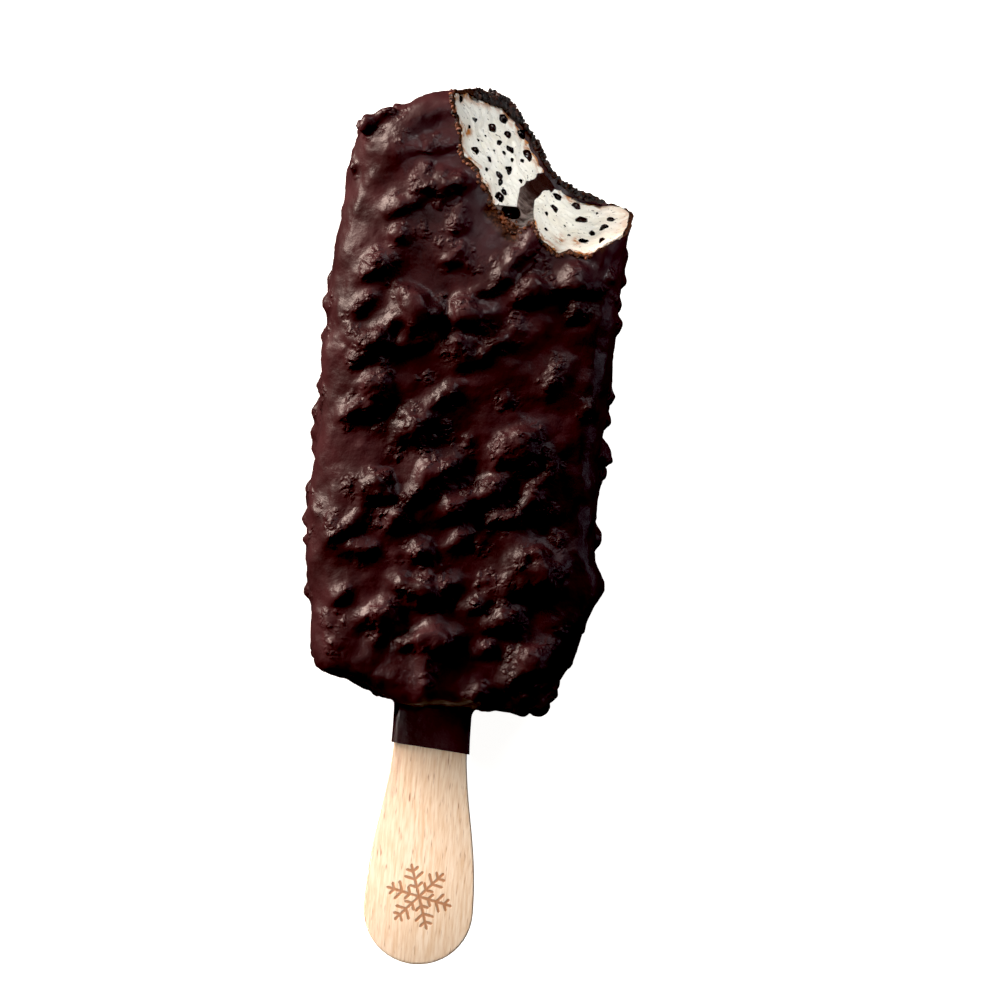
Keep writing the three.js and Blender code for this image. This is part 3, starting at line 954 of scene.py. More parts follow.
    def fill(self) -> list[Nut]:
        """Places the nuts that the solids have too, and then the finer ones.

        Returns:
            Every nut of the bar.
        """
        self.nuts = [*self.grouped(), *self.along_sides()]
        self.strew(self.face_count, self.face_rule(37, Side.FRONT, self.most, self.most))
        self.strew(self.back_count, self.face_rule(41, Side.BACK, self.back_most, self.back_stands_out))
        self.strew(self.rim_count, self.rim_rule(53))
        LOG.info("%d nuts shared with the solids", len(self.nuts))
        self.nuts.extend(self.finer())
        return self.nuts

    def finer(self) -> Iterator[Nut]:
        """Gives single nuts on the face and at its top left corner, small ones along each fold and round every group,
        and crumbs of nut round the sides.

        Yields:
            Each nut.
        """
        for place, radius in SINGLE_NUTS:
            yield self.face_nut(place, radius, Side.FRONT, radius * self.single_out)
        for place, z, radius in CORNER_NUTS:
            yield Nut(place, z, radius)
        stream = Stream(71)
        for start, end, width, _ in FOLDS:
            for _ in range(round(self.fold_each * abs(end - start))):
                place = mix(start, end, stream.between(0.0, 1.0))
                place += unit(end - start) * 1j * stream.between(-0.5, 0.5) * width
                radius = stream.between(*self.fold_size)
                yield self.face_nut(place, radius, Side.FRONT, radius * stream.between(*self.fold_out))
        for place, size in FACE_GROUPS:
            for _ in range(round(2 * size) + 1):
                reach = size * stream.between(*self.small_reach)
                beside = place + reach * cmath.exp(1j * stream.between(0, math.tau))
                radius = stream.between(*self.small_size)
                yield self.face_nut(beside, radius, Side.FRONT, radius * stream.between(*self.small_out))
        for _ in range(self.crumb_count):
            found = self.rim_place(stream.between(0, self.length))
            z = stream.between(self.slab.back + self.crumb_clear, self.slab.front - self.crumb_clear)
            radius = stream.between(*self.crumb_size)
            on_stick = abs(found[0].real) < self.stick.waist and found[0].imag < self.least
            if not on_stick and depth_in_bite(found[0], z, self.slab) < -radius:
                yield self.rim_nut(found, z, radius, radius * self.crumb_out)


class Heap:
    """A heap of chopped lumps. It is put away in small meshes, because a mesh in the making slows down as it grows."""

    full = 800

    def __init__(self, stream: Stream) -> None:
        """Starts an empty heap.

        Args:
            stream: Where the lumps' unevenness comes from.
        """
        self.stream = stream
        self.bm = bmesh.new()
        self.away: list[bpy.types.Mesh] = []

    def add(self, centre: Vector, radius: float, fineness: int = 1, stretch: float = 1.25) -> None:
        """Adds a lump, all flat faces and corners.

        Args:
            centre: The lump's middle.
            radius: About how large it is.
            fineness: How finely its ball is divided: 1 for 12 corners, 2 for 42.
            stretch: The most that it is stretched or pressed along its own axes.
        """
        stream = self.stream
        turned = Euler([stream.between(0, math.tau) for _ in range(3)]).to_matrix()
        sizes = Vector([stream.between(1 / stretch, stretch) for _ in range(3)]) * radius
        for vert in bmesh.ops.create_icosphere(self.bm, subdivisions=fineness, radius=1.0)["verts"]:
            vert.co = turned @ (vert.co * sizes * stream.between(0.84, 1.14)) + centre
        if len(self.bm.verts) > self.full:
            self.put_away()

    def put_away(self) -> None:
        """Puts the lumps at hand away in a mesh of their own."""
        mesh = bpy.data.meshes.new("lumps")
        self.bm.to_mesh(mesh)
        self.bm.clear()
        self.away.append(mesh)

    def pour(self, bm: Mesh) -> Mesh:
        """Pours the heap into a mesh in the making.

        Args:
            bm: The mesh that takes it.

        Returns:
            The same mesh.
        """
        self.put_away()
        self.bm.free()
        for mesh in self.away:
            bm.from_mesh(mesh)
            bpy.data.meshes.remove(mesh)
        return bm


# ---- Materials ----


class Paint:
    """A material in the making: its nodes, its Principled shader and the place of each point of the piece."""

    def __init__(self, name: str) -> None:
        """Starts a material with a plain surface.

        Args:
            name: The material's name.
        """
        self.made = bpy.data.materials.new(name)
        self.made.use_nodes = True
        self.tree = self.made.node_tree
        self.tree.nodes.clear()
        self.shader = self.add("BsdfPrincipled").node
        self.add("OutputMaterial", {"Surface": self.shader.outputs["BSDF"]}, out=None)
        self.place = self.add("TexCoord", out="Object")

    def add(self, kind: str, inputs: dict | tuple = (), out: str | int | None = 0, stops: tuple = (),
            **settings: object) -> Socket | None:
        """Adds a node with its settings and links.

        Args:
            kind: Blender's name for the kind of node, after ShaderNode.
            inputs: What each input gets, by its name or number, or in their order.
            out: Which output is wanted.
            stops: The places and colours of a ramp.
            settings: What to set on the node itself, by name.

        Returns:
            The output.
        """
        node = self.tree.nodes.new(f"ShaderNode{kind}")
        for name, value in settings.items():
            setattr(node, name, value)
        if stops:
            for element, (place, colour) in zip(node.color_ramp.elements, stops):
                element.position, element.color = place, linear(colour)
        self.feed(node, inputs)
        return None if out is None else node.outputs[out]

    def feed(self, node: bpy.types.Node, inputs: dict | tuple) -> None:
        """Links sockets to a node's inputs, and sets what isn't linked.

        Args:
            node: The node.
            inputs: A socket, a value or an sRGB colour for each input, by its name or number, or in their order.
        """
        for name, value in inputs.items() if isinstance(inputs, dict) else enumerate(inputs):
            if isinstance(value, Socket):
                self.tree.links.new(value, node.inputs[name])
            else:
                node.inputs[name].default_value = linear(value) if isinstance(value, str) else value

    def grain(self, width: float, length: float | None = None, detail: float = 2.0) -> Socket:
        """Adds noise, from 0 to 1, whose lumps have a real size.

        Args:
            width: How wide they are, in millimetres.
            length: How long they are along y, where that isn't their width.
            detail: How many finer layers it has.

        Returns:
            The noise.
        """
        across, along = 1 / (width * MM), 1 / ((length or width) * MM)
        drawn = self.add("Mapping", {"Vector": self.place, "Scale": (across, along, across)})
        return self.add("TexNoise", {"Vector": drawn, "Scale": 1.0, "Detail": detail})


class Finish:
    """A finish: it makes one node material."""

    name = "finish"

    def material(self) -> bpy.types.Material:
        """Makes the material, with what coat() gives it."""
        paint = Paint(self.name)
        paint.feed(paint.shader, self.coat(paint))
        return paint.made

    def coat(self, paint: Paint) -> dict[str, object]:
        """Adds the finish's own nodes to a material in the making.

        Args:
            paint: The material.

        Returns:
            What each of the shader's own sockets gets.
        """
        raise NotImplementedError


@dataclass(frozen=True)
class DarkChocolate(Finish):
    """Dark couverture, dipped and set cold: satin, with a soft sheen where it is smooth and dull where it broke."""

    name: str = "dark_couverture_dipped"
    deep: str = "#291416"
    warm: str = "#3c2124"
    cloud: float = 7.0
    broken: str = "#22130f"
    crumb: str = "#4f2d1c"
    speck: float = 0.5
    speck_height: float = 0.03
    sheen: tuple[float, float] = (0.34, 0.5)
    dull: float = 0.75
    swell: float = 1.4
    swell_height: float = 0.12
    bit: float = 1.5
    bit_height: float = 0.34
    bend: float = 2.4
    patch: float = 3.0

    def coat(self, paint: Paint) -> dict[str, object]:
        """Adds slow changes of colour and sheen, fine unevenness, and the dull crumbly break."""
        broken = paint.add("Attribute", attribute_name="broken", out="Fac")
        cloud = paint.grain(self.cloud, detail=3)
        skin = paint.add("ValToRGB", (cloud,), stops=((0.35, self.deep), (0.7, self.warm)))
        speck = paint.grain(self.speck)
        crumbs = paint.add("ValToRGB", (speck,), stops=((0.4, self.broken), (0.68, self.crumb)))
        low, high = self.sheen
        sheen = paint.add("ValToRGB", (paint.grain(self.patch),), stops=((0.3, low), (0.7, high)))
        # Set chocolate is never quite flat: swells of about a millimetre, and a fine skin on them.
        normal = None
        for height, depth in ((paint.grain(self.swell, detail=3), self.swell_height),
                              (self.bits(paint), self.bit_height), (speck, self.speck_height)):
            under = {} if normal is None else {"Normal": normal}
            normal = paint.add("Bump", {"Height": height, "Distance": depth * MM, **under})
        return {
            "Base Color": paint.add("Mix", {0: broken, 6: skin, 7: crumbs}, out=2, data_type="RGBA"),
            "Roughness": paint.add("Mix", {0: broken, 2: sheen, 3: self.dull}, data_type="FLOAT"),
            "IOR": 1.5, "Specular IOR Level": 0.22, "Normal": normal}

    def bits(self, paint: Paint) -> Socket:
        """Draws the finest bits of nut, which stand out under the chocolate round the others, here and there.

        Args:
            paint: The material in the making.

        Returns:
            How high they stand, from 0 to 1.
        """
        warp = paint.add("TexNoise", {"Vector": paint.place, "Scale": 1 / (self.bit * MM)}, out="Color")
        bent = paint.add("VectorMath", (warp, (self.bend * MM,) * 3, paint.place), operation="MULTIPLY_ADD")
        cells = paint.add("TexVoronoi", {"Vector": bent, "Scale": 1 / (self.bit * MM)})
        domes = paint.add("MapRange", {"Value": cells, "From Max": 0.75, "To Min": 1.0, "To Max": 0.0},
                          interpolation_type="SMOOTHSTEP")
        here = paint.add("ValToRGB", (paint.grain(self.patch),), stops=((0.42, 0.15), (0.58, 1.0)))
        nutty = paint.add("Attribute", attribute_name="nutty", out="Fac")
        some = paint.add("Math", (here, nutty), operation="MULTIPLY")
        return paint.add("Math", (domes, some), operation="MULTIPLY")


@dataclass(frozen=True)
class ChocolateChip(Finish):
    """Chopped dark chocolate frozen into the ice cream: nearly black, with small wet glints."""

    name: str = "dark_chocolate_chip"
    deep: str = "#0a0606"
    warm: str = "#21100e"
    cloud: float = 2.5
    cut: float = 0.4
    cut_depth: float = 0.05

    def coat(self, paint: Paint) -> dict[str, object]:
        """Adds a change of colour from chip to chip and a cut, uneven surface."""
        return {
            "Base Color": paint.add("ValToRGB", (paint.grain(self.cloud),),
                                    stops=((0.45, self.deep), (0.75, self.warm))),
            "Roughness": 0.22, "Specular IOR Level": 0.25,
            "Normal": paint.add("Bump", {"Height": paint.grain(self.cut), "Distance": self.cut_depth * MM})}


@dataclass(frozen=True)
class Crumb(Finish):
    """Broken couverture and nut in crumbs: dull, from dark brown to the tan of the nut."""

    name: str = "broken_couverture_crumb"
    dark: str = "#100807"
    brown: str = "#44251a"
    tan: str = "#7c4425"
    cloud: float = 0.9
    speck: float = 0.3
    speck_height: float = 0.06

    def coat(self, paint: Paint) -> dict[str, object]:
        """Adds a change of colour from crumb to crumb."""
        cloud = paint.grain(self.cloud)
        plain = paint.add("ValToRGB", (cloud,), stops=((0.5, self.dark), (0.7, self.brown)))
        nutty = paint.add("ValToRGB", (cloud,), stops=((0.38, self.dark), (0.66, self.tan)))
        roasted = paint.add("Attribute", attribute_name="roasted", out="Fac")
        return {
            "Base Color": paint.add("Mix", {0: roasted, 6: plain, 7: nutty}, out=2, data_type="RGBA"),
            "Roughness": 0.6,
            "Normal": paint.add("Bump", {"Height": paint.grain(self.speck), "Distance": self.speck_height * MM})}


@dataclass(frozen=True)
class IceCream(Finish):
    """Aerated vanilla ice cream, bitten while frozen: off-white, dull and finely pitted, stained by the coating."""

    name: str = "vanilla_ice_cream_frozen"
    pale: str = "#f5f2e8"
    cream: str = "#e8e2d3"
    cloud: float = 5.0
    stain: str = "#b06f33"
    blot: float = 1.3
    fine: str = "#4a3a33"
    dust: float = 0.55
    lump: float = 1.1
    lump_height: float = 0.15
    pit: float = 0.35
    pit_depth: float = 0.05

    def coat(self, paint: Paint) -> dict[str, object]:
        """Adds the cream's slow change of colour, the stain near the coating and pits of air and ice."""
        cloud = paint.grain(self.cloud, detail=3)
        body = paint.add("ValToRGB", (cloud,), stops=((0.4, self.pale), (0.75, self.cream)))
        near = paint.add("Attribute", attribute_name="stain", out="Fac")
        blots = paint.add("ValToRGB", (paint.grain(self.blot, detail=3),), stops=((0.4, 0.0), (0.56, 1.0)))
        soaked = paint.add("Math", (near, blots), operation="MULTIPLY")
        stained = paint.add("Mix", {0: soaked, 6: body, 7: self.stain}, out=2, data_type="RGBA")
        dust = paint.add("ValToRGB", (paint.grain(self.dust, detail=1),), stops=((0.67, 0.0), (0.74, 0.85)))
        lumps = paint.add("Bump", {"Height": paint.grain(self.lump, detail=3), "Distance": self.lump_height * MM})
        return {
            "Base Color": paint.add("Mix", {0: dust, 6: stained, 7: self.fine}, out=2, data_type="RGBA"),
            "Roughness": 0.55, "IOR": 1.35,
            "Subsurface Weight": 0.3, "Subsurface Radius": (1.0, 0.95, 0.85), "Subsurface Scale": 0.8 * MM,
            "Normal": paint.add("Bump", {"Height": paint.grain(self.pit), "Distance": self.pit_depth * MM,
                                         "Normal": lumps})}


@dataclass(frozen=True)
class Fudge(Finish):
    """Cold fudge, torn: dark, dense and glossy, with soft folds."""

    name: str = "dark_fudge_torn"
    dark: str = "#2a1815"
    deep: str = "#3a2b27"
    warm: str = "#9a8780"
    streak: float = 1.2
    highlight_starts: float = 8.5
    highlight_full: float = 15.0
    lump: float = 0.9
    lump_height: float = 0.25

    def coat(self, paint: Paint) -> dict[str, object]:
        """Adds streaks of colour down the tear and a gloss over them: towards the front the streaks fade up to a pale
        grey that is a painted highlight, and low down the fudge keeps its own dark brown.
        """
        highlight_streaks = paint.add(
            "ValToRGB", (paint.grain(self.streak, detail=3),), stops=((0.4, self.deep), (0.62, self.warm)))
        height = paint.add("SeparateXYZ", (paint.place,), out="Z")
        # Painted highlight: between these two heights the plain dark brown gives way to streaks that run to a pale
        # grey.
        front = paint.add(
            "MapRange", {"Value": height, "From Min": self.highlight_starts * MM, "From Max": self.highlight_full * MM})
        return {
            "Base Color": paint.add("Mix", {0: front, 6: self.dark, 7: highlight_streaks}, out=2, data_type="RGBA"),
            "Roughness": 0.3, "Coat Weight": 0.6, "Coat Roughness": 0.12,
            "Normal": paint.add("Bump", {"Height": paint.grain(self.lump), "Distance": self.lump_height * MM})}


@dataclass(frozen=True)
class Beech(Finish):
    """Steamed beech veneer, pressed and tumbled smooth: pale, with short dark flecks along the grain, and a mark
    burnt into its front."""

    mark: Vector
    turn: float = math.radians(12)
    name: str = "beech_tumbled"
    pale: str = "#efdabf"
    warm: str = "#ddbd99"
    streak: tuple[float, float] = (0.32, 3.5)
    fleck: str = "#a9795a"
    dash: tuple[float, float] = (0.27, 3.0)
    fibre: tuple[float, float] = (0.15, 3.0)
    fibre_height: float = 0.03
    burnt: str = "#9b5f2f"
    burnt_depth: float = 0.08
    arm: float = 5.2
    line: float = 0.52
    ragged: float = 0.16
    rag: float = 0.6
    twigs: tuple[tuple[float, float], ...] = ((1.5, 1.1), (2.8, 1.6), (4.1, 1.0))

    def coat(self, paint: Paint) -> dict[str, object]:
        """Adds the grain, the flecks of its rays and the burnt mark."""
        wood = paint.add("ValToRGB", (paint.grain(*self.streak),), stops=((0.35, self.pale), (0.68, self.warm)))
        dashes = paint.add("ValToRGB", (paint.grain(*self.dash),), stops=((0.63, 0.0), (0.74, 0.9)))
        flecked = paint.add("Mix", {0: dashes, 6: wood, 7: self.fleck}, out=2, data_type="RGBA")
        burn = self.snowflake(paint)
        fibre = paint.add("Bump", {"Height": paint.grain(*self.fibre), "Distance": self.fibre_height * MM})
        left = paint.add("Math", (1.0, burn), operation="SUBTRACT")
        return {
            "Base Color": paint.add("Mix", {0: burn, 6: flecked, 7: self.burnt}, out=2, data_type="RGBA"),
            "Roughness": 0.62,
            "Normal": paint.add("Bump", {"Height": left, "Distance": self.burnt_depth * MM, "Normal": fibre})}

    def snowflake(self, paint: Paint) -> Socket:
        """Draws the burnt mark, a six-armed snowflake, on the stick's front.

        Args:
            paint: The material in the making.

        Returns:
            How much the wood is burnt, from 0 to 1.
        """
        local = paint.add("Mapping", {"Vector": paint.place, "Location": -self.mark / MM, "Scale": (1 / MM,) * 3})
        x, y, z = paint.add("SeparateXYZ", (local,)).node.outputs
        angle = paint.add("Math", (y, x), operation="ARCTAN2")
        turned = paint.add("Math", (angle, self.turn + math.tau), operation="ADD")
        folded = paint.add("Math", (turned, math.radians(30)), operation="PINGPONG")
        squares = tuple(paint.add("Math", (way, way), operation="MULTIPLY") for way in (x, y))
        reach = paint.add("Math", (paint.add("Math", squares, operation="ADD"),), operation="SQRT")
        along, beside = (
            paint.add("Math", (reach, paint.add("Math", (folded,), operation=part)), operation="MULTIPLY")
            for part in ("COSINE", "SINE"))
        nearest = self.off_line(paint, along, beside, 0.0, 0.0, self.arm)
        for start, length in self.twigs:
            twig = self.off_line(paint, along, beside, start, math.radians(60), length)
            nearest = paint.add("Math", (nearest, twig), operation="MINIMUM")
        uneven = paint.add("Math", (paint.grain(self.rag), self.ragged), operation="MULTIPLY")
        ragged = paint.add("Math", (nearest, uneven), operation="ADD")
        inked = paint.add("Math", (ragged, self.line, 0.05), operation="SMOOTH_MIN")
        strength = paint.add("MapRange", {"Value": inked, "From Min": self.line * 0.45, "From Max": self.line * 0.72,
                                          "To Min": 0.85, "To Max": 0.0})
        front = paint.add("Math", (z, 0.0), operation="GREATER_THAN")
        return paint.add("Math", (strength, front), operation="MULTIPLY")

    def off_line(self, paint: Paint, along: Socket, beside: Socket, start: float, slope: float,
                 length: float) -> Socket:
        """Measures how far a point is from one stroke of the snowflake.

        Args:
            paint: The material in the making.
            along: The point's way along the arm, in millimetres.
            beside: Its way beside the arm.
            start: Where on the arm the stroke starts.
            slope: The angle between the stroke and the arm.
            length: The stroke's length.

        Returns:
            The distance in millimetres.
        """
        shifted = paint.add("Math", (along, start), operation="SUBTRACT")
        (lengthwise, rise), (run, sideways) = (
            tuple(paint.add("Math", (way, turn(slope)), operation="MULTIPLY") for turn in (math.cos, math.sin))
            for way in (shifted, beside))
        forward = paint.add("Math", (lengthwise, sideways), operation="ADD")
        off = paint.add("Math", (run, rise), operation="SUBTRACT")
        past_end = paint.add("Math", (forward, length), operation="SUBTRACT")
        before_start = paint.add("Math", (forward, -1.0), operation="MULTIPLY")
        beyond = paint.add("Math", (past_end, before_start), operation="MAXIMUM")
        outside = paint.add("Math", (beyond, 0.0), operation="MAXIMUM")
        return paint.add("Math", (paint.add("Math", (off,), operation="ABSOLUTE"), outside), operation="ADD")


@dataclass(frozen=True)
class PaleBoard(Finish):
    """Painted board, for the table: matt and nearly white."""

    name: str = "white_board_matt"
    colour: str = "#fbfaf8"
    glow: float = 0.99
    fibre: float = 2.0
    fibre_height: float = 0.02

    def coat(self, paint: Paint) -> dict[str, object]:
        """Adds a faint fibre to the paint, and the light that comes through it."""
        return {
            "Base Color": self.colour, "Roughness": 0.95,
            "Emission Color": self.colour, "Emission Strength": self.glow,
            "Normal": paint.add("Bump", {"Height": paint.grain(self.fibre), "Distance": self.fibre_height * MM})}


# ---- The pieces ----


@dataclass
class RunChocolate:
    """The surface of the chocolate as it ran over the moulded slab, before any nut. It bounds the ice cream too."""

    slab: Slab
    fold: float = 0.45
    fold_size: tuple[float, float, float] = (10, 4.5, 12)
    broad: float = 0.5
    broad_size: float = 9
    small: float = 0.3
    small_size: float = 2.8
    wander: float = 0.55
    wander_size: float = 5
    steep: float = 0.5
    lowered: float = 0.6
    crown: float = 1.1
    crown_left: float = 0.5
    crown_corner: float = 1.2
    crown_half: float = 21
    crown_lean: float = 0.02
    end_beside_break: float = 0.6
    end_behind: float = 1.7
    tip: float = 0.65
    voxel: float = 0.65
    inner_voxel: float = 0.85

    def __post_init__(self) -> None:
        """Makes the surface."""
        self.piece = new_piece("run_chocolate", self.slab.solid())
        add_modifier(self.piece, "REMESH", mode="VOXEL", voxel_size=self.voxel)
        add_modifier(self.piece, "SMOOTH", factor=0.5, iterations=14)
        apply_modifiers(self.piece)
        move_vertices(self.piece, lambda vert: vert.normal * self.rise(vert.co, vert.normal) - UP * self.sag(vert.co))

    def sag(self, place: Vector) -> float:
        """Says how far the front half of the bar sinks towards its sides, most at the top left corner.

        Args:
            place: A place on the bar.

        Returns:
            How far it sinks.
        """
        crown = self.crown
        if place.x < 0:
            crown += self.crown_left + self.crown_corner * smoothstep(62, 90, place.y)
        out = abs(place.x - self.crown_lean * place.y) / self.crown_half
        return crown * out ** 3 * smoothstep(self.slab.middle, self.slab.front - 2, place.z)

    def rise(self, place: Vector, normal: Vector) -> float:
        """Says how far the run chocolate stands off the moulded slab.

        Args:
            place: A place on the slab.
            normal: The slab's normal there.

        Returns:
            How far out of the slab it is.
        """
        along = (place.x + place.y) / math.sqrt(2)
        beside = (place.x - place.y) / math.sqrt(2)
        # Chocolate runs off the slanting bar in long low folds.
        long, across_fold, deep = self.fold_size
        rise = self.fold * noise.noise(Vector((along / long, beside / across_fold, place.z / deep)))
        broad = Vector((place.x / self.broad_size, place.y / self.broad_size, place.z / self.broad_size + 20))
        rise += self.broad * noise.noise(broad)
        rise += self.small * noise.noise(place / self.small_size + UP * 40)
        across = complex(place.x, place.y)
        front = smoothstep(0.2, 0.9, normal.z)
        if front > 0:
            rise += front * (self.folded(across) - self.lowered)
        rise += self.wander * (1 - smoothstep(0.8, 0.98, normal.z)) * noise.noise(place / self.wander_size + UP * 60)
        for share, swells in ((1 - front, BULGES), (front, SWELLS)):
            for middle, size, height in swells:
                reach = abs(across - middle) / size
                rise += share * height * math.exp(-reach * reach)
        return rise

    def folded(self, across: complex) -> float:
        """Says how high the folds of the face are at a place, the highest counting most.

        Args:
            across: The place across the bar.

        Returns:
            Their height.
        """
        total = 0.0
        for start, end, width, height in FOLDS:
            length = abs(end - start)
            local = (across - start) / unit(end - start)
            past = max(0.0, -local.real, local.real - length)
            side = local.imag if local.imag > 0 else local.imag / self.steep
            reach = (past * past + side * side) / (width * width)
            if reach < 6:
                total += (height * math.exp(-reach)) ** 3
        return total ** (1 / 3)

    def inner(self, wall: float) -> Mesh:
        """Gives the same surface further in.

        Args:
            wall: How far in.

        Returns:
            Its closed mesh in the making.
        """
        shrunk = bpy.data.objects.new("shrunk", self.piece.data.copy())
        bpy.context.scene.collection.objects.link(shrunk)

        def step(vert: Vert) -> Vector:
            """Goes in by the wall's thickness at a vertex."""
            # Over the end that was bitten the chocolate is thin beside the face's break, and thick behind it.
            at_end = mix(self.end_beside_break, self.end_behind, smoothstep(-3.4, -1.2, vert.co.x))
            at_tip = mix(1, self.tip, smoothstep(17, 20, vert.co.x) * smoothstep(70, 75, vert.co.y))
            return -vert.normal * wall * at_tip * mix(1, at_end, smoothstep(93, 97, vert.co.y))

        move_vertices(shrunk, step)
        add_modifier(shrunk, "REMESH", mode="VOXEL", voxel_size=self.inner_voxel)
        apply_modifiers(shrunk)
        bm = bmesh.new()
        bm.from_mesh(shrunk.data)
        bpy.data.meshes.remove(shrunk.data)
        return bm

    def tree(self) -> BVHTree:
        """Gives the surface for finding places on it.

        Returns:
            The surface as a tree.
        """
        bm = bmesh.new()
        bm.from_mesh(self.piece.data)
        found = BVHTree.FromBMesh(bm)
        bm.free()
        return found

    def remove(self) -> None:
        """Takes the surface out of the scene."""
        bpy.data.meshes.remove(self.piece.data)


@dataclass
class Coating:
    """The chocolate with its nuts: dipped over the slab, pooled between the nuts, bitten through at one corner."""

    slab: Slab
    stick: Stick
    run: RunChocolate
    nuts: list[Nut]
    wall: float = 1.05
    film: float = 0.42
    film_end: float = -6.05
    film_slope: float = -0.075
    film_wave: float = 0.12
    film_wave_size: float = 2.5
    voxel: float = 0.43
    pool: float = 0.42
    nut_lift: float = 0.9
    nut_crest: float = 2.0
    dome: float = 0.4
    most_outside: int = 145_000
    crest: float = 1.6
    rough: tuple[float, float] = (0.12, 1.2)
    fine_rough: tuple[float, float] = (0.06, 0.6)
    chip_deep: float = 0.55
    chip_rough: tuple[float, float] = (0.5, 0.9)
    chip_wide: float = 1.35
    chip_wander: tuple[float, float] = (0.5, 1.1)
    bit: tuple[float, float] = (0.3, 0.6)
    bits_each: float = 5
    near_nut: tuple[float, float] = (0.4, 1.6)
    stick_gap: float = 0.02

    def nut_heap(self) -> Heap:
        """Sets every nut into the run chocolate, as chopped lumps.

        Returns:
            The heap of them.
        """
        ground = self.run.tree()
        stream = Stream(34)
        heap = Heap(stream)
        highest = self.slab.front + self.nut_crest
        for nut in self.nuts:
            place = Vector((nut.place.real, nut.place.imag, nut.z))
            if nut.z > self.slab.front - 4:
                hit = ground.ray_cast(place + UP * 20, -UP)[0]
                stands_out = nut.z + nut.radius - self.slab.front
                if hit is not None and hit.z > self.slab.front - 9:
                    place.z = min(hit.z + self.nut_lift * max(0.6, stands_out), highest) - nut.radius
            if nut.radius < 1.0:
                heap.add(place, nut.radius * 1.08)
                continue
            # A large nut is a core with smaller broken bits stuck all round it.
            heap.add(place, nut.radius, fineness=2)
            for _ in range(round(self.bits_each * nut.radius)):
                turn = Euler([stream.between(0, math.tau) for _ in range(3)])
                way = UP.copy()
                way.rotate(turn)
                bit = stream.between(*self.bit)
                heap.add(place + way * (nut.radius - 0.25 * bit), bit)
        return heap

    def blank(self) -> Mesh:
        """Puts the run chocolate, the film down the stick and every nut into one mesh, still apart.

        Returns:
            The mesh in the making.
        """
        bm = bmesh.new()
        bm.from_mesh(self.run.piece.data)
        sleeve = self.stick_sleeve(self.film_end - 2.5, 4.0)
        whole = bpy.data.meshes.new("sleeve")
        sleeve.to_mesh(whole)
        sleeve.free()
        bm.from_mesh(whole)
        bpy.data.meshes.remove(whole)
        return self.nut_heap().pour(bm)

    def stick_sleeve(self, low: float, high: float) -> Mesh:
        """Makes the film round the stick as a solid stretch of a thicker stick.

        Args:
            low: Where along the bar it starts.
            high: Where it ends.

        Returns:
            Its mesh in the making.
        """
        bm = self.stick.solid(self.slab.middle, self.film)
        for y, way in ((low, -1), (high, 1)):
            whole = [*bm.verts, *bm.edges, *bm.faces]
            cut = bmesh.ops.bisect_plane(
                bm, geom=whole, plane_co=(0, y, 0), plane_no=(0, way, 0), clear_outer=True)["geom_cut"]
            rim = [item for item in cut if isinstance(item, bmesh.types.BMEdge)]
            bmesh.ops.holes_fill(bm, edges=rim)
        bmesh.ops.recalc_face_normals(bm, faces=bm.faces)
        return bm

    def build(self) -> Piece:
        """Makes the coating.

        Returns:
            The piece, still in the bar's own frame.
        """
        piece = new_piece("coating", self.blank())
        # Liquid chocolate fills the corners between nuts: what is grown and shrunk again keeps its crests.
        voxel = self.voxel * 1.0
        for grow in (self.pool, -self.pool):
            add_modifier(piece, "REMESH", mode="VOXEL", voxel_size=voxel)
            add_modifier(piece, "DISPLACE", strength=grow, mid_level=0.0)
        add_modifier(piece, "REMESH", mode="VOXEL", voxel_size=voxel)
        add_modifier(piece, "SMOOTH", factor=0.5, iterations=1)
        apply_modifiers(piece)
        LOG.info("draped chocolate: %d faces", len(piece.data.polygons))
        add_modifier(piece, "DECIMATE", ratio=min(1.0, self.most_outside / (2 * len(piece.data.polygons))))
        apply_modifiers(piece)
        move_vertices(piece, self.settle)
        self.hollow_out(piece)
        return piece

    def settle(self, vert: Vert) -> Vector:
        """Roughens the chocolate a little, keeps its crests low and lays it flat on the table.

        Args:
            vert: A vertex of the chocolate.

        Returns:
            The vertex's step.
        """
        (rough, size), (fine, fine_size) = self.rough, self.fine_rough
        rise = rough * noise.noise(vert.co / size + UP * 70) + fine * noise.noise(vert.co / fine_size + UP * 90)
        moved = vert.normal * rise * smoothstep(-1, 1, vert.co.y)
        if vert.co.z > self.slab.middle:
            if vert.co.y < 0.5:
                out = min(1.0, abs(vert.co.x) / 6)
                moved.z += self.dome * (1 - out * out) * smoothstep(-6.0, -4.0, vert.co.y)
            rough, size = self.chip_rough
            moved.z -= self.chipped(vert.co) * (self.chip_deep + rough * noise.noise(vert.co / size))
        over = max(0.0, vert.co.z + moved.z - self.slab.front - self.crest)
        moved.z -= over * 0.5
        moved.z = max(moved.z, -vert.co.z)
        return moved

    def chipped(self, place: Vector) -> float:
        """Says how far the face's skin has chipped off at a place, from 0 to 1.

        Args:
            place: The place.

        Returns:
            How far.
        """
        start, end = CHIPPED
        if place.z < self.slab.front - 4:
            return 0.0
        local = (complex(place.x, place.y) - start) / unit(end - start)
        past = max(0.0, -local.real, local.real - abs(end - start))
        wander, size = self.chip_wander
        edge = self.chip_wide + wander * noise.noise(place / size + UP * 30)
        return 1 - smoothstep(edge - 0.3, edge, math.hypot(past, local.imag))

    def hollow_out(self, piece: Piece) -> None:
        """Takes out what the ice cream and the stick fill, the bite, and the end of the film.

        Args:
            piece: The coating, which is changed.
        """
        carve(piece, self.run.inner(self.wall), Cut.AWAY)
        carve(piece, self.stick.solid(self.slab.middle, self.stick_gap), Cut.AWAY)
        wall = BittenWall(
            self.slab, BACK_SHELL_BREAK, coarse=(0.4, 1.5), fine=(0.3, 0.6), set_back=0.25, step=0.32)
        room = wall.room("coating's bite")
        tree = BVHTree.FromBMesh(room)
        carve(piece, room, Cut.AWAY)
        carve(piece, self.beyond_film(), Cut.AWAY)

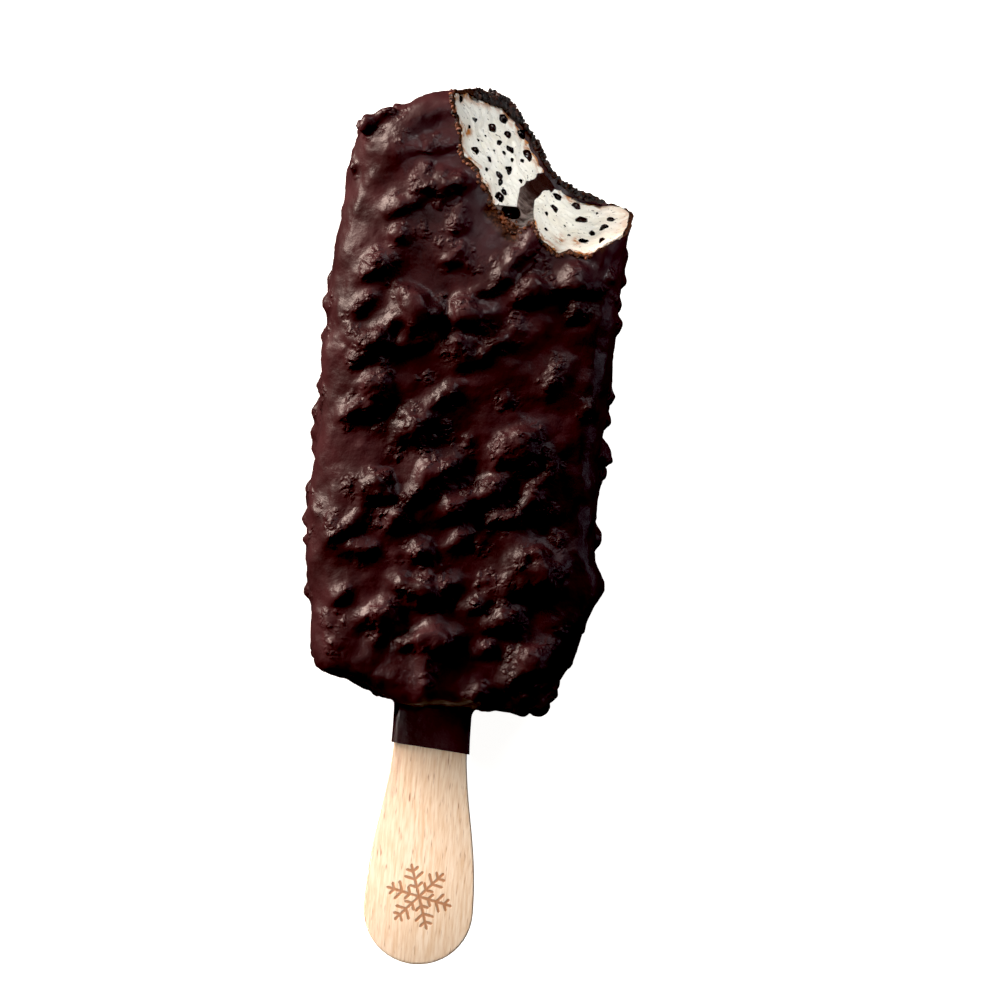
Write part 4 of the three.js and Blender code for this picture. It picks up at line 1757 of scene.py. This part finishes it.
        def broken(place: Vector) -> float:
            """Says how much the chocolate is broken at a place."""
            if place.y < -3:
                return 0.0
            return max(1 - smoothstep(0, 0.05, tree.find_nearest(place)[3]), self.chipped(place))

        paint_vertices(piece, "broken", broken)
        nearest = KDTree(len(self.nuts))
        for index, nut in enumerate(self.nuts):
            nearest.insert((nut.place.real, nut.place.imag, nut.z), index)
        nearest.balance()

        def nutty(place: Vector) -> float:
            """Says how near a place is to a nut."""
            _, index, distance = nearest.find(place)
            return 1 - smoothstep(*self.near_nut, distance - self.nuts[index].radius)

        paint_vertices(piece, "nutty", nutty)

    def beyond_film(self) -> Mesh:
        """Makes the block that trims the film to its end, which runs a little askew and wavy.

        Returns:
            Its closed mesh in the making.
        """
        segments, half_width, half_height, length = 40, 12, 4, 8
        bm = bmesh.new()
        bmesh.ops.create_grid(bm, x_segments=segments, y_segments=1, size=1)
        for vert in bm.verts:
            x = vert.co.x * half_width
            wave = self.film_wave * noise.noise(Vector((x / self.film_wave_size, 7, 0)))
            end = self.film_end + self.film_slope * x + wave
            vert.co = (x, end, self.slab.middle + vert.co.y * half_height)
        return sweep(bm, (0, -length, 0))


# The fudge ribbon's path from the back to the front: the share of the bar's thickness, its middle and half its width.
RIBBON_PATH = (
    (0.0, 12.0, 1.45), (0.13, 10.5, 1.4), (0.28, 8.8, 1.3), (0.42, 7.85, 1.25), (0.6, 7.75, 1.35), (0.82, 7.9, 1.4),
    (0.86, 6.2, 3.3), (1.0, 6.1, 3.4),
)


@dataclass
class Ribbon:
    """The sheet of fudge down the bar, which widens to a pocket at the front."""

    slab: Slab
    run: RunChocolate
    bottom: float = 12.0
    top: float = 110.0
    steps: int = 80
    lump_low: complex = 2.4+74.0j
    lump_high: complex = 7.4+80.4j
    lump_deep: float = 19.0
    pocket: complex = 5.4+79.3j
    pocket_behind: float = 8.0
    pocket_size: tuple[float, float, float] = (1.75, 1.3, 9.0)
    overlap: float = 0.05

    def path(self, share: float) -> tuple[float, float]:
        """Gives the ribbon's middle and half its width at a share of the bar's thickness.

        Args:
            share: The share, from the back.

        Returns:
            The middle and the half width.
        """
        for before, after in zip(RIBBON_PATH, RIBBON_PATH[1:]):
            if share <= after[0]:
                way = smoothstep(before[0], after[0], share)
                return mix(before[1], after[1], way), mix(before[2], after[2], way)
        return RIBBON_PATH[-1][1:]

    def sheet(self, grow: float) -> Mesh:
        """Makes the whole sheet.

        Args:
            grow: How much thicker than the fudge to make it, on each side.

        Returns:
            Its closed mesh in the making.
        """
        bm = bmesh.new()
        bmesh.ops.create_grid(bm, x_segments=1, y_segments=self.steps, size=1)
        for vert in bm.verts:
            share = (vert.co.y + 1) / 2
            middle, half = self.path(share)
            z = mix(self.slab.back, self.slab.front, share)
            vert.co = (middle + vert.co.x * (half + grow), self.bottom - grow, z)
        return sweep(bm, (0, self.top - self.bottom, 0))

    def lump(self, grow: float) -> Mesh:
        """Makes the lump that the sheet widens to where the bite laid it open.

        Args:
            grow: How much larger than the fudge to make it, on each side.

        Returns:
            Its closed mesh in the making.
        """
        low, high, front = self.lump_low, self.lump_high, self.slab.front
        return block((low.real - grow, low.imag - grow, front - self.lump_deep - grow),
                     (high.real + grow, high.imag + grow, front))

    def build(self, inset: float) -> Piece:
        """Makes the fudge inside the ice cream, torn a little deeper than it.

        Args:
            inset: The thickness of the chocolate round it.

        Returns:
            The piece, still in the bar's own frame.
        """
        piece = new_piece("fudge", self.sheet(self.overlap))
        carve(piece, self.lump(self.overlap), Cut.JOIN)
        carve(piece, self.run.inner(inset), Cut.KEEP)
        wall = BittenWall(
            self.slab, BACK_BREAK, coarse=(0.4, 2.6), fine=(0.08, 0.8), set_back=0.35, step=0.25, hollow=1.2)
        carve(piece, wall.room("fudge's bite"), Cut.AWAY)
        pocket = bmesh.new()
        place = (self.pocket.real, self.pocket.imag, self.slab.front - self.pocket_behind)
        shape = Matrix.Translation(place) @ Matrix.Diagonal((*self.pocket_size, 1))
        bmesh.ops.create_icosphere(pocket, subdivisions=4, radius=1.0, matrix=shape)
        carve(piece, pocket, Cut.AWAY)
        return piece


# Where the coating and the fudge stained the bitten wall most: place and size.
STAINS = ((-2.4+91.5j, 0.7), (13.6+75.9j, 0.7), (16.3+75.8j, 0.6), (8.9+77.4j, 0.8), (1.2+83.2j, 0.6))
# Chocolate chips that the bite laid open, as seen from the front: place and radius.
CHIPS = (
    (-4.0+96.6j, 0.63), (-1.5+93.6j, 0.5), (-2.2+92.4j, 0.4), (3.0+94.1j, 0.95), (1.4+92.5j, 0.87),
    (4.0+91.8j, 0.63), (6.0+92.0j, 0.79), (5.3+93.9j, 0.79), (2.7+90.3j, 0.55), (4.4+89.5j, 0.71),
    (-0.9+88.7j, 0.87), (3.7+88.8j, 0.4), (7.3+88.8j, 0.95), (1.4+87.5j, 0.6), (5.0+87.8j, 0.4),
    (6.6+87.9j, 0.5), (1.1+85.8j, 0.4), (4.5+86.1j, 0.87), (3.2+84.9j, 0.8), (3.4+84.0j, 0.6),
    (6.7+84.6j, 0.4), (3.5+81.5j, 0.85), (4.2+82.5j, 0.5), (12.6+82.5j, 0.71), (12.3+80.6j, 0.75),
    (11.1+79.8j, 0.5), (15.7+81.5j, 0.75), (16.7+79.2j, 0.95), (21.4+79.7j, 0.68), (20.4+78.3j, 0.75),
    (18.6+77.2j, 0.6), (17.3+75.8j, 0.85), (20.3+76.2j, 0.5), (11.3+77.2j, 0.35), (-0.6+90.4j, 0.28),
    (0.5+91.2j, 0.22), (2.0+89.0j, 0.22), (14.2+78.1j, 0.24), (19.2+80.6j, 0.3), (15.0+76.6j, 0.26),
)


@dataclass
class Filling:
    """The ice cream that fills the chocolate, bitten with it, and the chips in the bitten wall."""

    slab: Slab
    stick: Stick
    run: RunChocolate
    ribbon: Ribbon
    wall: float
    soaked: float = 2.2
    least_soaked: float = 0.4
    spot: float = 1.4
    stick_gap: float = 0.02

    def build(self) -> Piece:
        """Makes the ice cream.

        Returns:
            The piece, still in the bar's own frame.
        """
        body = self.run.inner(self.wall)
        skin = BVHTree.FromBMesh(body)
        piece = new_piece("ice_cream_body", body)
        wall = BittenWall(self.slab, BACK_BREAK)
        carve(piece, wall.room("ice cream's bite"), Cut.AWAY)
        carve(piece, self.ribbon.sheet(0.0), Cut.AWAY)
        carve(piece, self.ribbon.lump(0.0), Cut.AWAY)
        carve(piece, self.stick.solid(self.slab.middle, self.stick_gap), Cut.AWAY)

        def stained(place: Vector) -> float:
            """Says how much the coating has stained the ice cream at a place."""
            depth = skin.find_nearest(place)[3]
            spots = [abs(complex(place.x, place.y) - middle) / size for middle, size in STAINS]
            at_skin = (1 - smoothstep(0, self.soaked, depth)) * mix(1, self.least_soaked, smoothstep(18, 21, place.x))
            return max(at_skin, self.spot * math.exp(-min(spots) ** 2))

        paint_vertices(piece, "stain", stained)
        return piece

    def chips(self, piece: Piece) -> Piece:
        """Makes the chips on the bitten wall.

        Args:
            piece: The ice cream that they lie in.

        Returns:
            The chips as one piece, still in the bar's own frame.
        """
        tree = BVHTree.FromObject(piece, bpy.context.evaluated_depsgraph_get())
        heap = Heap(Stream(67))
        for place, radius in CHIPS:
            hit, normal, _, _ = tree.ray_cast(Vector((place.real, place.imag, 60)), -UP)
            if hit is not None:
                heap.add(hit - normal * radius * 0.25, radius * 1.05, fineness=2, stretch=1.3)
        return new_piece("chips", heap.pour(bmesh.new()))


# The line along which a clump of broken coating hangs on above the ice cream, at the bar's top.
CLUMP = (-1.9+97.8j, -0.5+97.4j, 1.1+97.3j, 2.5+97.0j, 4.3+95.8j, 5.4+94.7j)


@dataclass
class Rubble:
    """What the bite broke off and left: chunks of dark coating on the ledge at the back, crumbs along the front."""

    slab: Slab
    ledge_count: int = 240
    ledge_size: tuple[float, float] = (0.2, 0.38)
    chunk_count: int = 130
    chunk_size: tuple[float, float] = (0.3, 0.65)
    front_count: int = 460
    front_size: tuple[float, float] = (0.12, 0.32)
    front_wide: float = 0.35
    over_fudge: float = 0.9
    fudge_middle: float = 6
    fudge_wide: float = 3.0

    def build(self, *pieces: Piece) -> Piece:
        """Makes the crumbs as one piece.

        Args:
            pieces: What the crumbs of the front lie on.

        Returns:
            The piece, still in the bar's own frame.
        """
        stream = Stream(89)
        heap = Heap(stream)
        for _ in range(self.ledge_count):
            share = stream.between(0.11, 0.8)
            inside = stream.between(0.15, 0.8)
            place = mix(point_along(BACK_BREAK, share), point_along(BACK_SHELL_BREAK, share), inside)
            z = self.slab.back + 1.1 + stream.between(0, 0.9) * (1 - inside)
            heap.add(Vector((place.real, place.imag, z)), stream.between(*self.ledge_size))
        graph = bpy.context.evaluated_depsgraph_get()
        trees = [BVHTree.FromObject(piece, graph) for piece in pieces]
        for _ in range(self.chunk_count):
            place = point_along(CLUMP, stream.draw())
            place += complex(stream.between(-0.3, 0.3), stream.between(-0.6, 0.6))
            self.lay(heap, trees, place, 0.1, stream.between(*self.chunk_size))
        for _ in range(self.front_count):
            share = stream.between(0.06, 0.84)
            if noise.noise(Vector((share * 26, 3, 0))) < stream.between(-0.35, 0.15):
                continue
            place = point_along(FRONT_BREAK, share)
            # The face broke widest, and left most crumbs, over the fudge.
            off = (place.real - self.fudge_middle) / self.fudge_wide
            wide = self.front_wide + self.over_fudge * math.exp(-off ** 2)
            place += unit(place - BITE_MIDDLE) * (0.25 + wide * (stream.draw() + stream.draw() - 1))
            self.lay(heap, trees, place, 0.05, stream.between(*self.front_size))
        piece = new_piece("crumbs", heap.pour(bmesh.new()))
        paint_vertices(piece, "roasted", lambda place: (
            0.0 if place.x > -3.3 and place.y > 93 else smoothstep(8, 14, place.z)))
        return piece

    def lay(self, heap: Heap, trees: Sequence[BVHTree], place: complex, above: float, radius: float) -> None:
        """Lays a crumb on whatever is highest at a place, if anything is.

        Args:
            heap: The heap that takes it.
            trees: What it may lie on.
            place: Where it goes.
            above: How far its middle is above what it lies on.
            radius: Its radius.
        """
        hits = [tree.ray_cast(Vector((place.real, place.imag, 60)), -UP)[0] for tree in trees]
        heights = [hit.z for hit in hits if hit is not None]
        if heights:
            heap.add(Vector((place.real, place.imag, max(heights) + above)), radius)


@dataclass(frozen=True)
class Lamp:
    """A square soft lamp: what it faces, across the bar, and where it is from there in metres; the length of its side
    in metres, its power in watts, its colour and how wide its beam is in degrees."""

    name: str
    target: complex
    place: tuple[float, float, float]
    size: float
    power: float
    colour: str
    spread: float = 180.0


# The large ones light the whole bar, the narrow ones the bite, its front and the stick.
LAMPS = (
    Lamp("key", 45j, (-0.33, 0.215, 0.087), 0.18, 4.8, "#ffe8da"),
    Lamp("top", 45j, (0.35, 0.66, 0.55), 0.40, 2.4, "#f6f8ff"),
    Lamp("bite", 12+86j, (0.12, 0.28, 0.26), 0.03, 0.0028, "#fffdf6", spread=8),
    Lamp("right", 45j, (0.65, 0.10, 0.12), 0.25, 0.5, "#e9f0ff"),
    Lamp("above", 6+88j, (-0.02, -0.01, 0.35), 0.02, 0.0009, "#fbfcff", spread=6.5),
    Lamp("stick", -26j, (-0.17, 0.0, 0.25), 0.03, 0.0054, "#fffaf8", spread=13),
)


@dataclass
class Studio:
    """The table, the lights and the camera, which looks straight down on the bar."""

    frame: BarFrame
    slab: Slab
    picture: float = 1000.0
    scale: float = 6.32
    stick_entry: complex = 433+710j
    tilt: float = math.radians(4.9)
    distance: float = 4.0
    sensor: float = 36.0
    black: float = 0.009
    room: str = "#f4f5f8"
    room_strength: float = 0.03

    def build(self) -> None:
        """Lays the table and sets the lights and the camera."""
        bm = bmesh.new()
        bmesh.ops.create_grid(bm, x_segments=2, y_segments=2, size=2.0)
        table = new_piece("table", bm)
        table.data.materials.append(PaleBoard().material())
        self.camera()
        # The lights alone light the bar: what the table would throw back onto its sides is left out.
        table.visible_diffuse = False
        table.visible_glossy = False
        for lamp in LAMPS:
            self.hang(lamp)
        world = bpy.data.worlds.new("room")
        world.use_nodes = True
        background = world.node_tree.nodes["Background"].inputs
        background["Color"].default_value = linear(self.room)
        background["Strength"].default_value = self.room_strength
        bpy.context.scene.world = world
        view = bpy.context.scene.view_settings
        view.view_transform = "Standard"
        view.use_curve_mapping = True
        view.curve_mapping.black_level = (self.black,) * 3
        view.curve_mapping.update()

    def camera(self) -> None:
        """Sets the camera over the middle of its picture, turned by the bar's tilt in it."""
        middle = complex(self.picture, self.picture) / 2 - self.stick_entry
        across = (middle.conjugate() * cmath.exp(1j * self.tilt)) / self.scale
        target = self.frame.point(across, self.slab.middle)
        data = bpy.data.cameras.new("camera")
        data.sensor_width = self.sensor
        seen = self.picture / self.scale * MM
        data.lens = self.sensor * self.distance / seen
        data.clip_start = 0.5
        data.clip_end = 20
        camera = bpy.data.objects.new("camera", data)
        camera.location = target + UP * self.distance
        camera.rotation_euler = (0, 0, self.tilt)
        bpy.context.scene.collection.objects.link(camera)
        bpy.context.scene.camera = camera

    def hang(self, lamp: Lamp) -> None:
        """Sets a lamp, facing what it lights.

        Args:
            lamp: What it is.
        """
        data = bpy.data.lights.new(lamp.name, "AREA")
        data.shape = "SQUARE"
        data.size = lamp.size
        data.energy = lamp.power
        data.color = linear(lamp.colour)[:3]
        data.spread = math.radians(lamp.spread)
        hung = bpy.data.objects.new(lamp.name, data)
        hung.location = self.frame.point(lamp.target, self.slab.middle) + Vector(lamp.place)
        hung.rotation_euler = (-Vector(lamp.place)).to_track_quat("-Z", "Y").to_euler()
        bpy.context.scene.collection.objects.link(hung)


# ---- The whole ----


def finish_piece(piece: Piece, bar_frame: BarFrame, finish: Finish, replaces: str | None,
                 sharp: float = 50.0) -> None:
    """Takes a piece into the row's frame, dresses it and says what it is.

    Args:
        piece: The piece, in the bar's own frame.
        bar_frame: The way into the row's frame.
        finish: Its finish.
        replaces: The solid that it stands for, if any.
        sharp: The angle in degrees above which an edge stays sharp.
    """
    bar_frame.place(piece)
    piece.data.materials.clear()
    piece.data.materials.append(finish.material())
    piece.data.shade_smooth()
    piece.data.set_sharp_from_angle(angle=math.radians(sharp))
    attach(piece, BODY)
    if replaces is not None:
        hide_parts(replaces)
    LOG.info("%s: %d faces", piece.name, len(piece.data.polygons))


def main() -> None:
    """Builds the bar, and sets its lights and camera."""
    logging.basicConfig(level=logging.INFO, format="%(message)s")
    slab = Slab()
    stick = Stick()
    bar_frame = BarFrame(slab, stick)
    bed = NutBed(slab, stick)
    nuts = bed.fill()

    run = RunChocolate(slab)
    coating = Coating(slab, stick, run, nuts)
    shell = coating.build()

    inset = coating.wall + 0.01
    ribbon = Ribbon(slab, run)
    fudge = ribbon.build(inset)

    filling = Filling(slab, stick, run, ribbon, inset)
    body = filling.build()
    run.remove()
    chips = filling.chips(body)
    crumbs = Rubble(slab).build(shell, fudge, body)
    finish_piece(shell, bar_frame, DarkChocolate(), "chocolate_coating", sharp=65.0)
    finish_piece(fudge, bar_frame, Fudge(), "fudge_ribbon")
    finish_piece(body, bar_frame, IceCream(), "ice_cream")
    finish_piece(chips, bar_frame, ChocolateChip(), None)
    finish_piece(crumbs, bar_frame, Crumb(), None)

    wood = stick.build(slab.middle)
    mark = bar_frame.point(stick.mark, slab.middle)
    finish_piece(wood, bar_frame, Beech(mark), "stick", sharp=30.0)

    Studio(bar_frame, slab).build()


if __name__ == "__main__":
    main()
